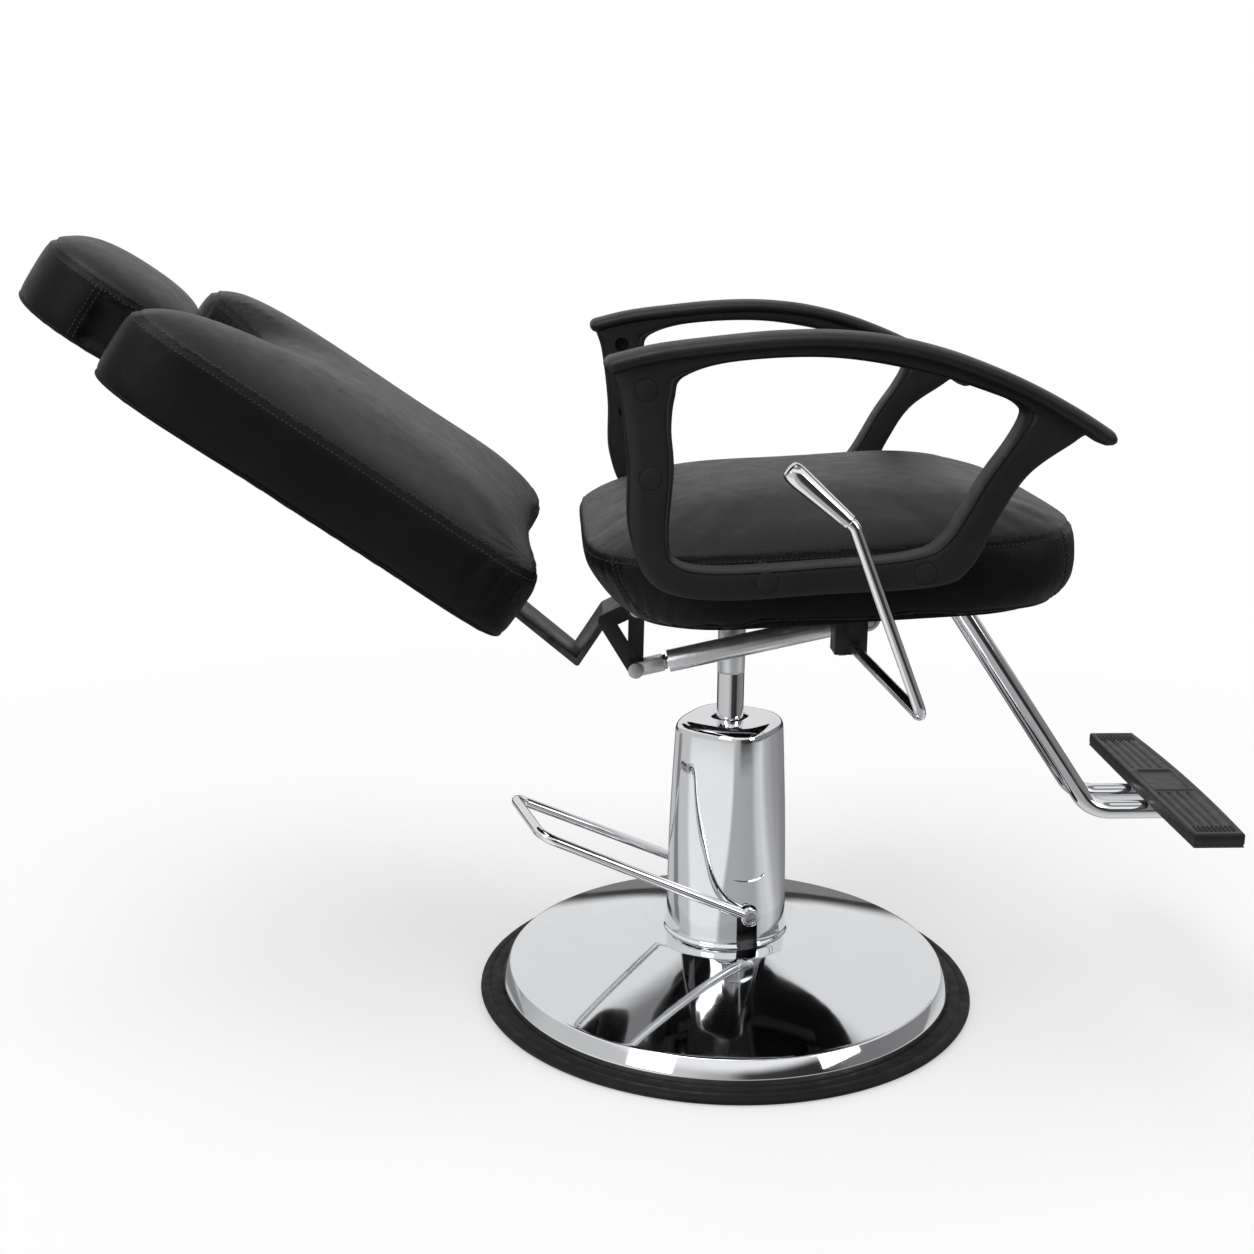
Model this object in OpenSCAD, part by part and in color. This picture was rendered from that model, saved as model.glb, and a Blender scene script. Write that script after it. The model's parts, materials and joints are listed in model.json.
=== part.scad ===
// Hydraulic barber chair: round base with a foot pump, lifting and swivelling seat,
// reclining back with a headrest, fixed arms, T-shaped footrest and recline lever.
// X points to the sitter's front, Y to the sitter's left, Z up. The origin is on the
// floor, on the axis of the lift.

/* [Base] */
// Outer diameter of the rubber floor ring
ring_d = 600; // [560:5:660]
// Width of the floor ring that shows beside the dish
ring_w = 27; // [20:1:32]
// Height of the floor ring
ring_h = 10; // [8:1:12]
// Height of the dish's flat hub above the floor
hub_z = 79; // [72:1:86]
// Diameter of the dish's flat hub
hub_d = 204; // [190:2:230]
// Thickness of the pressed dish
dish_t = 3; // [2:0.5:4]

/* [Pump] */
// Height of the pump cover's flat top above the floor
cover_top = 345; // [335:1:355]
// Diameter of the cover at its shoulder
cover_top_d = 122; // [116:1:128]
// Diameter of the cover at its foot
cover_foot_d = 146; // [140:1:150]
// Thickness of the cover's wall
cover_t = 2; // [1.5:0.5:2.5]
// Diameter of the lifting rod
rod_d = 32; // [30:1:36]
// Height of the rod's shoulder, where the seat turns
shoulder_z = 400; // [396:1:410]
// How far the seat goes down from the pose drawn
lift_down = 50; // [40:1:52]
// How far the seat goes up from the pose drawn
lift_up = 100; // [80:1:102]

/* [Pedal] */
// Height of the pedal's pivot above the floor
pedal_z = 120; // [116:1:124]
// Angle that the pedal is turned from the chair's rear
pedal_yaw = 15; // [0:1:30]
// Length of the pedal loop from its pivot to its foot bar
pedal_len = 279; // [240:1:300]
// Angle of the pedal above the level
pedal_rise = 26.5; // [24:0.5:30]
// Distance between the loop's ends at the pivot
pedal_root_w = 156; // [152:1:160]
// Distance between the loop's sides at the foot bar
pedal_bar_w = 134; // [110:1:150]
// Diameter of the pedal's rod
pedal_rod_d = 12; // [10:1:14]

/* [Seat] */
// Length of the seat cushion
seat_l = 536; // [526:2:544]
// Width of the seat cushion
seat_w = 518; // [500:2:520]
// Distance from the lift's axis to the cushion's rear
seat_rear = 180; // [174:1:184]
// Height of the cushion's underside above the floor at the lift's axis
seat_z = 512.5; // [510:0.5:520]
// Angle that the seat is raised at its front
seat_tilt = 3.4; // [2:0.2:5]
// Height of the cushion's side band up to its seam
seat_band_h = 78; // [76:1:90]
// Height of the cushion's crown above its seam
seat_crown = 47; // [35:1:60]

/* [Back] */
// Angle of the reclined back above the level
back_angle = 34; // [32:0.5:36]
// Length of the back cushion
back_l = 487; // [470:1:500]
// Width of the back cushion
back_w = 508; // [490:2:516]
// Thickness of the back cushion at its seams
back_band = 80; // [74:1:84]
// Height of the back cushion's crown above its seam
back_crown = 38; // [28:1:44]
// Depth of the notch for the headrest
notch_d = 94; // [84:1:102]
// Half the width of the notch
notch_w = 118; // [110:1:126]

/* [Headrest] */
// Width of the headrest cushion
head_w = 220; // [212:2:232]
// Height of the headrest cushion
head_l = 178; // [160:2:190]
// Thickness of the headrest cushion at its seams
head_band = 72; // [68:1:78]
// Height of the headrest cushion's crown
head_crown = 29; // [25:1:36]
// Width of the headrest's steel strap
head_bar_w = 40; // [30:1:44]
// How far the headrest can be drawn out
head_out = 60; // [40:1:70]

/* [Arms] */
// Length of an arm, from its rear tip to its front tip
arm_l = 493; // [470:1:510]
// Height of an arm
arm_h = 265; // [255:1:275]
// Thickness of an arm across its frame
arm_t = 40; // [34:1:44]
// Width of the arm's top pad
arm_pad_w = 60; // [52:1:66]
// Gap between the inner face of an arm and the cushion's side
arm_seat_gap = 3; // [2:0.5:6]

/* [Recline] */
// Distance of the back's hinge behind the lift's axis
hinge_back = 115; // [112:1:118]
// Height of the back's hinge above the floor
hinge_z = 490; // [488:1:492]
// Width of the back's strap
strap_w = 84; // [76:1:90]
// Thickness of the back's strap
strap_t = 7; // [6:0.5:8]
// Diameter of the recline cylinder's tube
tube_d = 26; // [24:1:28]
// Diameter of the recline cylinder's rod
cyl_rod_d = 12; // [10:1:14]

/* [Footrest] */
// Outer diameter of the footrest's tubes
foot_tube_d = 22; // [20:1:24]
// Distance between the footrest's tubes
foot_tube_gap = 60; // [54:1:66]
// Height of the axis of the footrest's level tubes
foot_z = 234; // [225:1:245]
// Distance of the footrest's bend in front of its clamp
foot_reach = 228; // [220:1:234]
// Width of the foot plate
plate_w = 372; // [340:2:390]
// Length of the foot plate at its middle
plate_l = 64; // [60:1:72]
// Thickness of the foot plate's rubber
plate_pad_t = 14; // [12:1:18]

/* [Lever] */
// Diameter of the lever's rod
lever_d = 12; // [10:1:13]
// Largest diameter of the lever's grip
grip_d = 22; // [18:1:26]
// Length of the lever's grip
grip_l = 80; // [70:1:90]

/* [Hidden] */
$fn = 64;
// Overrun of every cut
over = 1;
// Radial clearance of running fits
fit = 0.05;
// Side clearance between faces that turn on each other
side_fit = 0.3;
// Clearance between a soft piece and a rigid one on another body
soft_gap = 0.3;

// Base
bottom_t = 4;
ring_r = ring_d / 2;
dish_r = ring_r - ring_w;
hub_r = hub_d / 2;
rim_z = 17.5;
rim_step = 9;
rim_top = 36;
flange_t = 6;
flange_r = 68;
reservoir_r = 38;
hub_hole_r = reservoir_r + side_fit;
cyl_r = 30;
cyl_bore_r = 20;
cyl_top = 318;
lift_spare = 18;
lift_rest = 34;
body_r = 44;
body_top = 150;
boss_r = 15;
boss_end = 50;
flange_bolt_r = 4;
flange_bolt_at = 58;
flange_head_r = 7;
flange_head_h = 5;
stub_r = 7;
stub_in = 32;
gland_r = 34;
gland_h = 20;
wiper_w = 4;
wiper_h = 4;
rod_r = rod_d / 2;
piston_h = 20;
piston_r = cyl_bore_r - fit;
spigot_r = 11;
spigot_h = 55;
washer_t = 2;

// Pump cover
lip_flare = 3;
lip_h = 2;
lip_rise = 9;
shoulder_r = 8;
cover_hole_r = 21;
slot_w = 26;
slit_w = 44;
slit_h = 9;
slit_z = 166;
slit_turn = 16;

// Pedal
finger_w = 10;
finger_gap = 1;
finger_hub_r = 11;
finger_reach = 24;
finger_t = 8;
plunger_at = 20;
plunger_r = 5;
plunger_gap = 0.4;
plunger_foot = 100;
barrel_r = 8;
barrel_h = 20;
pedal_bend_r = 20;
pedal_eye_r = 11;
pedal_eye_w = 11;

// Seat
socket_play = 0.2;
socket_r = rod_r + socket_play;
mount_z = 487;
mount_t = 6;
mount_l = 150;
socket_cap = 12;
rail_w = 20;
rail_at = 74;
rail_rear = 98;
rail_front = 228;
mount_bolt_r = 3;
mount_bolt_x = 58;
mount_bolt_l = 16;
mount_head_r = 5.5;
mount_head_h = 4;
box_rear = 62;
box_front = 36;
box_side = 17;
box_h = 74;
box_wall = 20;
box_floor = 12;
box_corner = 100;
corner_pow = 5;
corner_n = 10;
// Rings up the seat's side: height share of the band, then insets at rear, front and sides
seat_band_shares = [[0, 0.92, 0.86, 0.53], [0.18, 0.61, 0.22, 0.18], [0.51, 0.27, 0, 0],
    [0.8, 0.08, 0, 0.06], [1, 0.06, 0.08, 0.29]];
// Rings over a crown: inset share of the half width and height share of the crown
crown_shares = [[0.055, 0.3], [0.13, 0.53], [0.28, 0.76], [0.48, 0.92], [0.74, 0.99]];

// Back, in its own frame: X to its front, Z up along it, origin on the hinge
back_foot = 127;
back_board_t = 12;
back_board_in = 30;
back_center_share = 0.42;
back_steps = 2;
// Points of half the back's outline: shares of the half width and of the length
back_side_shares = [[0, 0.03], [0.45, 0.02], [0.83, 0], [0.965, 0.03], [1, 0.12], [0.985, 0.45],
    [1, 0.74], [0.99, 0.9], [0.9, 0.985], [0.74, 1]];
// Points of half the notch: shares of its half width and depth
notch_shares = [[1.2, 0.16], [0.96, 0.52], [0.6, 0.88], [0, 1]];
// Rings round the back's edge: share of the band from its rear, and inset share of the board's
back_band_shares = [[0, 0.16], [0.08, 0.03], [0.5, 0], [0.9, 0.04], [1, 0.2]];

// Headrest
head_rise = 55;
head_seam = -16;
head_pow = 2.5;
head_n = 40;
guide_floor = 4;
head_block_in = 24;
head_bar_t = 6;
head_bar_hold = 76;
head_bar_in = 95;
recess_w = 110;
recess_t = 52;
recess_d = 16;
guide_wall = 8;
guide_l = 150;
guide_top = 8;
guide_fit = 0.2;

// Arms
arm_rear = -158;
arm_z = 554;
arm_steps = 3;
arm_pad_over = 6;

arm_boss_r = 15;

plug_r = 11;
plug_t = 3;
arm_bolt_r = 4;
arm_head_r = 8;
arm_head_h = 6;
// Places of the arm's four holes: shares of its length and height
arm_bolt_shares = [[0.32, 0.0755], [0.639, 0.109]];
arm_screw_shares = [[0.075, 0.785], [0.085, 0.464]];
// Stations round the arm: outer point, inner point and share of the top pad
arm_shares = [
    [[0.000, 0.862], [0.132, 0.755], 0.7], [[0.018, 0.905], [0.150, 0.830], 1],
    [[0.219, 0.974], [0.250, 0.885], 1], [[0.436, 1.000], [0.440, 0.900], 1],
    [[0.650, 0.940], [0.622, 0.848], 1], [[0.838, 0.808], [0.765, 0.768], 1],
    [[1.000, 0.623], [0.814, 0.725], 1], [[0.962, 0.602], [0.821, 0.683], 0.9],
    [[0.840, 0.475], [0.798, 0.592], 0.1], [[0.783, 0.313], [0.752, 0.465], 0],
    [[0.732, 0.120], [0.680, 0.240], 0], [[0.660, 0.050], [0.610, 0.172], 0],
    [[0.440, 0.023], [0.440, 0.140], 0], [[0.219, 0.000], [0.225, 0.117], 0],
    [[0.096, 0.055], [0.140, 0.148], 0], [[0.045, 0.250], [0.124, 0.250], 0],
    [[0.040, 0.510], [0.132, 0.490], 0], [[0.022, 0.755], [0.126, 0.640], 0.15]];

// Recline
pin_r = 6;
eye_r = 12;
cheek_t = 10;
lever_t = 8;
bracket_t = 4;
bracket_over = 2;
bracket_l = 70;
cheek_l = 37;

bracket_start = 17;
bend_x = 183;
bend_z = 419;
strap_rise_x = 150;
strap_rise_z = 473;
strap_entry = 9;
strap_end = 15;
clevis_x = 116;
clevis_z = 417;
clevis_r = 8;
lever_foot_r = 9;
clevis_tine = 5;
clevis_slot = 27;
clevis_l = 33;
clevis_bolt_r = 5;
clevis_head_r = 9;
clevis_head_h = 4;
anchor_x = 150;
anchor_z = 476;
anchor_pin_r = 5;
anchor_clear = 4;
anchor_eye_r = 15;
anchor_eye_t = 12;
anchor_cheek_r = 10;
anchor_l = 60;
tube_start = 39;
tube_end = 236;
rod_in_tube = 130;
stem_r = 5.5;
nut_w = 4;
nut_r = 9;

// Footrest
foot_top_in = 46;
foot_slope = 55.6;
foot_bend_r = 45;
foot_tube_t = 2;
foot_tube_l = 111;
plate_ahead = 97.5;
plate_core_t = 3;
pad_edge = 4;
clamp_l = 60;
clamp_w = 100;
clamp_drop = 24;
plug_h = 6;
plug_flange = 2;
foot_screw_r = 3;

// Lever
lever_yaw = 8.2;
lever_droop = 4.3;
block_x = 120;
block_y = 102;
block_l = 36;
block_w = 32;
block_foot_z = 451;
lever_low_x = 154;
lever_low_z = 443;
tab_gap = 3;
lever_knee_x = 76;
lever_knee_z = 638;
lever_end_x = 6;
lever_end_z = 698;
lever_arm_gap = 29;
lever_bend_r = 14;
lever_turned_over = 20;
lever_lean = 10;
tab_r = 9;
tab_reach = 22;

// Screws in the seat's box and the back's board
screw_r = 2.5;
screw_in = 10;
screw_head_r = 5;
screw_head_h = 3;
screw_sink = 8;
pin_head_t = 3;
arm_bolt_short = 4;
clamp_in = 114;
clamp_wing = 62;
clamp_t = 5;
clamp_chamfer = 12;
clamp_reach = 80;
clamp_screw_in = 8;
clamp_screw_edge = 5;
anchor_cheek_t = 4;
anchor_screw_in = 7;
bracket_screw_in = 10;
bracket_screw_y = 20;
block_screw_x = 10;
strap_screw_y = 25;
strap_screw_in = 18;
strap_screw_gap = 30;
head_screw_in = 15;
head_screw_gap = 40;
head_seam_share = 0.2;
foot_screw_in = 45;
foot_screw_l = 14;
foot_screw_deep = 11;
plate_front_bow = 6;
plate_rear_bow = 1;
grip_gap = 6;
grip_sink = 50;
grip_root_r = 7;
tab_t = 8;
// Sides of a bent rod's skin and rings round each of its bends
rod_sides = 20;
rod_steps = 8;

// Derived places of the seat's frame and of the back's hinge
seat_front = seat_l - seat_rear;
seat_half = seat_w / 2;
arm_gap = seat_w + 2 * arm_seat_gap;
arm_bolt_end = seat_half - box_side - box_wall + arm_bolt_short;
lever_side = arm_gap / 2 + arm_pad_w - arm_pad_over + lever_arm_gap;
lever_foot_y = lever_side - lever_lean;
clamp_x = seat_front - box_front - clamp_in;
foot_top_x = clamp_x + foot_top_in;
foot_bend_x = clamp_x + foot_reach;
foot_tube_end = foot_bend_x + foot_tube_l;
plate_x = foot_bend_x + plate_ahead;
cover_top_r = cover_top_d / 2;
cover_foot_r = cover_foot_d / 2;
flange_top = hub_z + flange_t;
stub_out = pedal_root_w / 2 + pedal_eye_w / 2;
finger_in = boss_end + finger_gap;
eye_in = pedal_root_w / 2 - pedal_eye_w / 2;
hinge = [-hinge_back, 0, hinge_z];
clevis_y = -strap_w / 2 - lever_t / 2;
clevis_at = [-clevis_x, clevis_y, clevis_z];
anchor_at = [anchor_x, clevis_y, anchor_z];
cyl_len = norm(anchor_at - clevis_at);
cyl_rise = atan2(anchor_z - clevis_z, anchor_x + clevis_x);
half_back = back_w / 2;
notch_u = back_foot + back_l - notch_d;
head_foot = notch_u + head_rise;
rod_foot = cyl_top - lift_up - lift_spare;
cyl_seat_z = rod_foot - piston_h - lift_down - lift_rest;
head_bar_foot = notch_u - guide_top - head_out - head_bar_hold;
head_bar_l = head_foot + head_bar_in - head_bar_foot;
strap_screw_u = back_foot + back_board_in + strap_screw_in;
strap_lay = strap_screw_u + strap_screw_gap + strap_end;
foot_dir = [cos(foot_slope), 0, -sin(foot_slope)];
foot_top = [foot_top_x, 0, foot_z + (foot_bend_x - foot_top_x) * tan(foot_slope)];

// Places of the seat's screws: X, Y and thickness of the plate that each holds
bracket_screw_at = [for (x = [bracket_start + bracket_screw_in, bracket_start + bracket_l
    - bracket_screw_in], side = [-1, 1]) [x - hinge_back, side * bracket_screw_y, bracket_t]];
clamp_screw_at = [for (x = [clamp_screw_in, clamp_l - clamp_screw_in], side = [-1, 1])
    [clamp_x + x, side * (clamp_wing - clamp_screw_edge), clamp_t]];
anchor_screw_at = [for (side = [-1, 1])
    [anchor_x + side * (anchor_l / 2 - anchor_screw_in), clevis_y, bracket_t]];
block_screw_at = [for (side = [-1, 1]) [block_x + side * block_screw_x, -block_y, 0]];
seat_screw_at = concat(bracket_screw_at, clamp_screw_at, anchor_screw_at);
strap_screw_at = [for (u = [0, 1], side = [-1, 1])
    [side * strap_screw_y, strap_screw_u + u * strap_screw_gap]];
foot_screw_at = [for (sx = [-1, 1], sy = [-1, 1]) [plate_x + sx * (plate_l - foot_screw_in) / 2
    - foot_screw_in / 4, sy * foot_tube_gap / 2, foot_z + foot_tube_d / 2 - foot_screw_deep]];

// Lever: shaft, low bend, knee and grip
lever_turned_l = block_w + lever_turned_over;
lever_low = [lever_low_x, -lever_foot_y, lever_low_z];
lever_axis = [sin(lever_yaw) * cos(lever_droop), -cos(lever_yaw) * cos(lever_droop),
    -sin(lever_droop)];
lever_shaft_l = (lever_foot_y - block_y + block_w / 2 + tab_gap + tab_t) / -lever_axis[1];
lever_start = lever_low - lever_shaft_l * lever_axis;
lever_knee = [lever_knee_x, -lever_side, lever_knee_z];
grip_dir = unit([lever_end_x, -lever_side, lever_end_z] - lever_knee);

// Height of the sloping underside of the seat at a place along X
function seat_under(x) = seat_z + x * tan(seat_tilt);

// Points of an arc from angle a to angle b
function arc(x, y, r, a, b, n = 8) = [for (i = [0:n])
    [x + r * cos(a + (b - a) * i / n), y + r * sin(a + (b - a) * i / n)]];

// Point of a smooth curve between b and c
function curve_at(a, b, c, d, t) = (2 * b + (c - a) * t + (2 * a - 5 * b + 4 * c - d) * t * t
    + (3 * b - a - 3 * c + d) * t * t * t) / 2;

// Smooth closed curve through points, with a number of steps from each to the next
function closed_curve(p, steps) = let(n = len(p)) [for (i = [0:n - 1], j = [0:steps - 1])
    curve_at(p[(i + n - 1) % n], p[i], p[(i + 1) % n], p[(i + 2) % n], j / steps)];

// Signed power of a value, for an outline between an ellipse and a rectangle
function spow(v, p) = sign(v) * pow(abs(v), p);

// Outline between an ellipse and a rectangle, by its ends along X and half its width
function soft_oval(x0, x1, half, p, n) = [for (i = [0:n - 1]) let(a = 360 * i / n)
    [(x0 + x1) / 2 + (x1 - x0) / 2 * spow(cos(a), 2 / p), half * spow(sin(a), 2 / p)]];

// Rectangle with round corners, with the same number of points in each corner
function round_rect(x0, x1, half, r, n) = [for (k = [0:3], i = [0:n - 1])
    let(a = 90 * (k + i / (n - 1)), cx = (k == 0 || k == 3) ? x1 - r : x0 + r,
        cy = (k < 2) ? half - r : r - half)
    [cx + r * cos(a), cy + r * sin(a)]];

// Outline moved in by a distance, square to itself
function drawn_in(p, d) = let(n = len(p)) [for (i = [0:n - 1])
    let(t = p[(i + 1) % n] - p[(i + n - 1) % n]) p[i] + d / norm(t) * [-t[1], t[0]]];

// Outline drawn towards a centre by a share
function shrunk(p, c, share) = [for (q = p) q + share * (c - q)];

function at_height(p, z) = [for (q = p) [q[0], q[1], z]];

// Closed skin over rings of equal length, with a fan to a point at each end
module ring_skin(first, rings, last) {
    n = len(rings[0]);
    m = len(rings);
    end = n * m + 1;
    points = concat([first], [for (r = rings) for (q = r) q], [last]);
    faces = concat(
        [for (i = [0:n - 1]) [0, 1 + i, 1 + (i + 1) % n]],
        [for (k = [0:m - 2], i = [0:n - 1]) [1 + k * n + i, 1 + (k + 1) * n + i,
            1 + k * n + (i + 1) % n]],
        [for (k = [0:m - 2], i = [0:n - 1]) [1 + k * n + (i + 1) % n, 1 + (k + 1) * n + i,
            1 + (k + 1) * n + (i + 1) % n]],
        [for (i = [0:n - 1]) [end, 1 + (m - 1) * n + (i + 1) % n, 1 + (m - 1) * n + i]]);
    polyhedron(points, faces, convexity = 6);
}

// Closed skin over a ring of sections, each joined to the next and the last to the first
module loop_skin(sections) {
    m = len(sections);
    n = len(sections[0]);
    points = [for (s = sections) for (q = s) q];
    faces = concat(
        [for (k = [0:m - 1], i = [0:n - 1]) [k * n + i, ((k + 1) % m) * n + i,
            k * n + (i + 1) % n]],
        [for (k = [0:m - 1], i = [0:n - 1]) [k * n + (i + 1) % n, ((k + 1) % m) * n + i,
            ((k + 1) % m) * n + (i + 1) % n]]);
    polyhedron(points, faces, convexity = 8);
}

// Round bar from a to b
module bar(a, b, r) {
    v = b - a;
    translate(a)
        rotate([0, acos(v[2] / norm(v)), atan2(v[1], v[0])])
            cylinder(r = r, h = norm(v));
}

function unit(v) = v / norm(v);

// Length that a bend of radius r takes from each leg at a corner
function bend_cut(a, b, c, r) = r * tan(acos(unit(b - a) * unit(c - b)) / 2);

// Places and directions along corner points, with a round bend at each corner
function bent_path(p, bend, steps) = let(last = len(p) - 1) concat(
    [[p[0], unit(p[1] - p[0])]],
    [for (i = [1:last - 1]) let(u = unit(p[i] - p[i - 1]), v = unit(p[i + 1] - p[i]),
        turn = acos(u * v), side = cross(unit(cross(u, v)), u),
        c = p[i] - u * bend_cut(p[i - 1], p[i], p[i + 1], bend) + side * bend)
        for (k = [0:steps]) let(a = turn * k / steps)
            [c - side * bend * cos(a) + u * bend * sin(a), u * cos(a) + side * sin(a)]],
    [[p[last], unit(p[last] - p[last - 1])]]);

// Ring of points round each place of a path; across is square to none of its directions
function rod_rings(path, r, across_dir, n) = [for (q = path)
    let(a = unit(cross(q[1], across_dir)), b = cross(q[1], a))
    [for (i = [0:n - 1]) q[0] + r * cos(360 * i / n) * a + r * sin(360 * i / n) * b]];

// Bent round rod
module bent_rod(path, r, across_dir, n) {
    ring_skin(path[0][0], rod_rings(path, r, across_dir, n), path[len(path) - 1][0]);
}

// Bent pipe with a bore
module bent_pipe(path, r, bore, across_dir, n) {
    inner = rod_rings(path, bore, across_dir, n);
    loop_skin(concat(rod_rings(path, r, across_dir, n),
        [for (i = [len(inner) - 1:-1:0]) inner[i]]));
}

// Outline in X and Z, extruded between two places along Y
module across(y0, y1) {
    translate([0, y1, 0]) rotate([90, 0, 0]) linear_extrude(y1 - y0) children();
}

// Cylinder along Y between two places
module y_bar(x, z, r, y0, y1) {
    translate([x, y1, z]) rotate([90, 0, 0]) cylinder(r = r, h = y1 - y0);
}

// Frames of the seat, the back, the pedal and the recline cylinder
module in_seat() {
    translate([0, 0, seat_z]) rotate([0, -seat_tilt, 0]) children();
}
module in_back() {
    translate(hinge) rotate([0, back_angle - 90, 0]) children();
}
module in_pedal() {
    translate([0, 0, pedal_z]) rotate([0, 0, 180 + pedal_yaw]) children();
}
module in_cylinder() {
    translate(clevis_at) rotate([0, 90 - cyl_rise, 0]) children();
}

// Rubber ring under the dish's edge, with a rounded outer edge
module floor_ring() {
    edge = ring_h / 2;
    color("#202122")
        rotate_extrude($fn = 128)
            polygon(concat([[dish_r, 0]], [[ring_r - edge / 2, 0]],
                arc(ring_r - edge, ring_h - edge, edge, 0, 90), [[dish_r, ring_h]]));
}

module bottom_plate() {
    color("#3a3c3f") cylinder(r = dish_r, h = bottom_t, $fn = 128);
}

// Pressed dish: bevelled rim, cone and flat hub with a hole for the pump
module base_dish() {
    cone_r = dish_r - rim_step;
    color("#d9dce0")
        rotate_extrude($fn = 128)
            polygon([[dish_r, bottom_t], [dish_r, rim_z], [cone_r, rim_top], [hub_r, hub_z],
                [hub_hole_r, hub_z], [hub_hole_r, hub_z - dish_t], [hub_r - dish_t, hub_z - dish_t],
                [cone_r - dish_t, rim_top - dish_t], [dish_r - dish_t, rim_z - dish_t],
                [dish_r - dish_t, bottom_t]]);
}

// Pump casting: reservoir on the bottom plate, flange on the hub, body with two pivot bosses
module pump_body() {
    color("#4b4e52")
        difference() {
            union() {
                translate([0, 0, bottom_t]) cylinder(r = reservoir_r, h = hub_z - bottom_t);
                translate([0, 0, hub_z]) cylinder(r = flange_r, h = flange_t);
                translate([0, 0, flange_top]) cylinder(r = body_r, h = body_top - flange_top);
                in_pedal() y_bar(0, 0, boss_r, -boss_end, boss_end);
            }
            translate([0, 0, cyl_seat_z]) cylinder(r = cyl_r, h = cyl_top);
            in_pedal() y_bar(0, 0, stub_r + fit, -boss_end - over, boss_end + over);
            for (a = [0:90:270])
                rotate([0, 0, a + pedal_yaw])
                    translate([flange_bolt_at * cos(45), flange_bolt_at * sin(45),
                        hub_z - dish_t - over])
                        cylinder(r = flange_bolt_r, h = flange_t + dish_t + 2 * over);
        }
}

// Four bolts that hold the pump's flange on the dish's hub
module pump_bolts() {
    color("#8a8d90")
        for (a = [0:90:270])
            rotate([0, 0, a + pedal_yaw])
                translate([flange_bolt_at * cos(45), flange_bolt_at * sin(45), 0]) {
                    translate([0, 0, hub_z]) cylinder(r = flange_bolt_r, h = flange_t);
                    translate([0, 0, flange_top])
                        cylinder(r = flange_head_r, h = flange_head_h, $fn = 6);
                }
}

module pump_cylinder() {
    color("#6f7378")
        translate([0, 0, cyl_seat_z])
            difference() {
                cylinder(r = cyl_r, h = cyl_top - cyl_seat_z);
                translate([0, 0, -over])
                    cylinder(r = cyl_bore_r, h = cyl_top - cyl_seat_z + 2 * over);
            }
}

// Nut that closes the cylinder and guides the rod
module gland_nut() {
    color("#55585c")
        translate([0, 0, cyl_top])
            difference() {
                cylinder(r = gland_r, h = gland_h);
                translate([0, 0, -over]) cylinder(r = rod_r + fit, h = gland_h + 2 * over);
            }
}

module rod_wiper() {
    color("#1c1c1d")
        translate([0, 0, cyl_top + gland_h])
            difference() {
                cylinder(r = rod_r + wiper_w, h = wiper_h);
                translate([0, 0, -over]) cylinder(r = rod_r + fit, h = wiper_h + 2 * over);
            }
}

module plunger_barrel() {
    color("#6f7378")
        in_pedal()
            translate([plunger_at, finger_in + finger_w / 2, flange_top - pedal_z])
                difference() {
                    cylinder(r = barrel_r, h = barrel_h);
                    translate([0, 0, -over])
                        cylinder(r = plunger_r + fit, h = barrel_h + 2 * over);
                }
}

// Chrome cover over the pump: flared foot, tapered wall, round shoulder and flat top
module pump_cover() {
    foot = cover_foot_r;
    side = cover_top_r;
    top_in = cover_top - shoulder_r;
    wall_z = hub_z + lip_rise;
    color("#dfe2e6")
        difference() {
            rotate_extrude($fn = 96)
                polygon(concat(
                    [[foot + lip_flare, hub_z], [foot + lip_flare, hub_z + lip_h], [foot, wall_z]],
                    arc(side - shoulder_r, top_in, shoulder_r, 0, 90),
                    [[cover_hole_r, cover_top], [cover_hole_r, cover_top - cover_t]],
                    arc(side - shoulder_r, top_in, shoulder_r - cover_t, 90, 0),
                    [[foot - cover_t, wall_z], [foot + lip_flare - cover_t, hub_z + lip_h],
                        [foot + lip_flare - cover_t, hub_z]]));
            for (side_sign = [-1, 1])
                in_pedal() {
                    y_far = side_sign * (foot + lip_flare + over);
                    y_bar(0, 0, slot_w / 2, min(y_far, side_sign * body_r),
                        max(y_far, side_sign * body_r));
                    translate([-slot_w / 2, min(y_far, side_sign * body_r), hub_z - pedal_z - over])
                        cube([slot_w, abs(y_far) - body_r, pedal_z - hub_z + over]);
                }
            // Lens-shaped slit in the near side
            rotate([0, 0, slit_turn])
                across(-foot - over, -body_r)
                    intersection() {
                        slit_r = (slit_w * slit_w / 4 + slit_h * slit_h / 4) / slit_h;
                        translate([0, slit_z + slit_r - slit_h / 2]) circle(slit_r, $fn = 192);
                        translate([0, slit_z - slit_r + slit_h / 2]) circle(slit_r, $fn = 192);
                    }
        }
}

// Chrome rod loop with an eye on each pivot stub
module pedal_loop() {
    half_root = pedal_root_w / 2;
    half_bar = pedal_bar_w / 2;
    start = pedal_eye_r - pedal_rod_d / 4;
    path = bent_path([[start, -half_root, 0], [pedal_len, -half_bar, 0],
        [pedal_len, half_bar, 0], [start, half_root, 0]], pedal_bend_r, rod_steps);
    color("#d4d7db")
        in_pedal()
            difference() {
                union() {
                    rotate([0, -pedal_rise, 0])
                        bent_rod(path, pedal_rod_d / 2, [0, 0, 1], rod_sides);
                    for (y0 = [-stub_out, eye_in]) y_bar(0, 0, pedal_eye_r, y0, y0 + pedal_eye_w);
                }
                y_bar(0, 0, stub_r, -stub_out - over, stub_out + over);
            }
}

module pedal_stubs() {
    color("#8a8d90")
        in_pedal()
            for (y0 = [-stub_out, stub_in]) y_bar(0, 0, stub_r, y0, y0 + stub_out - stub_in);
}

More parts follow.
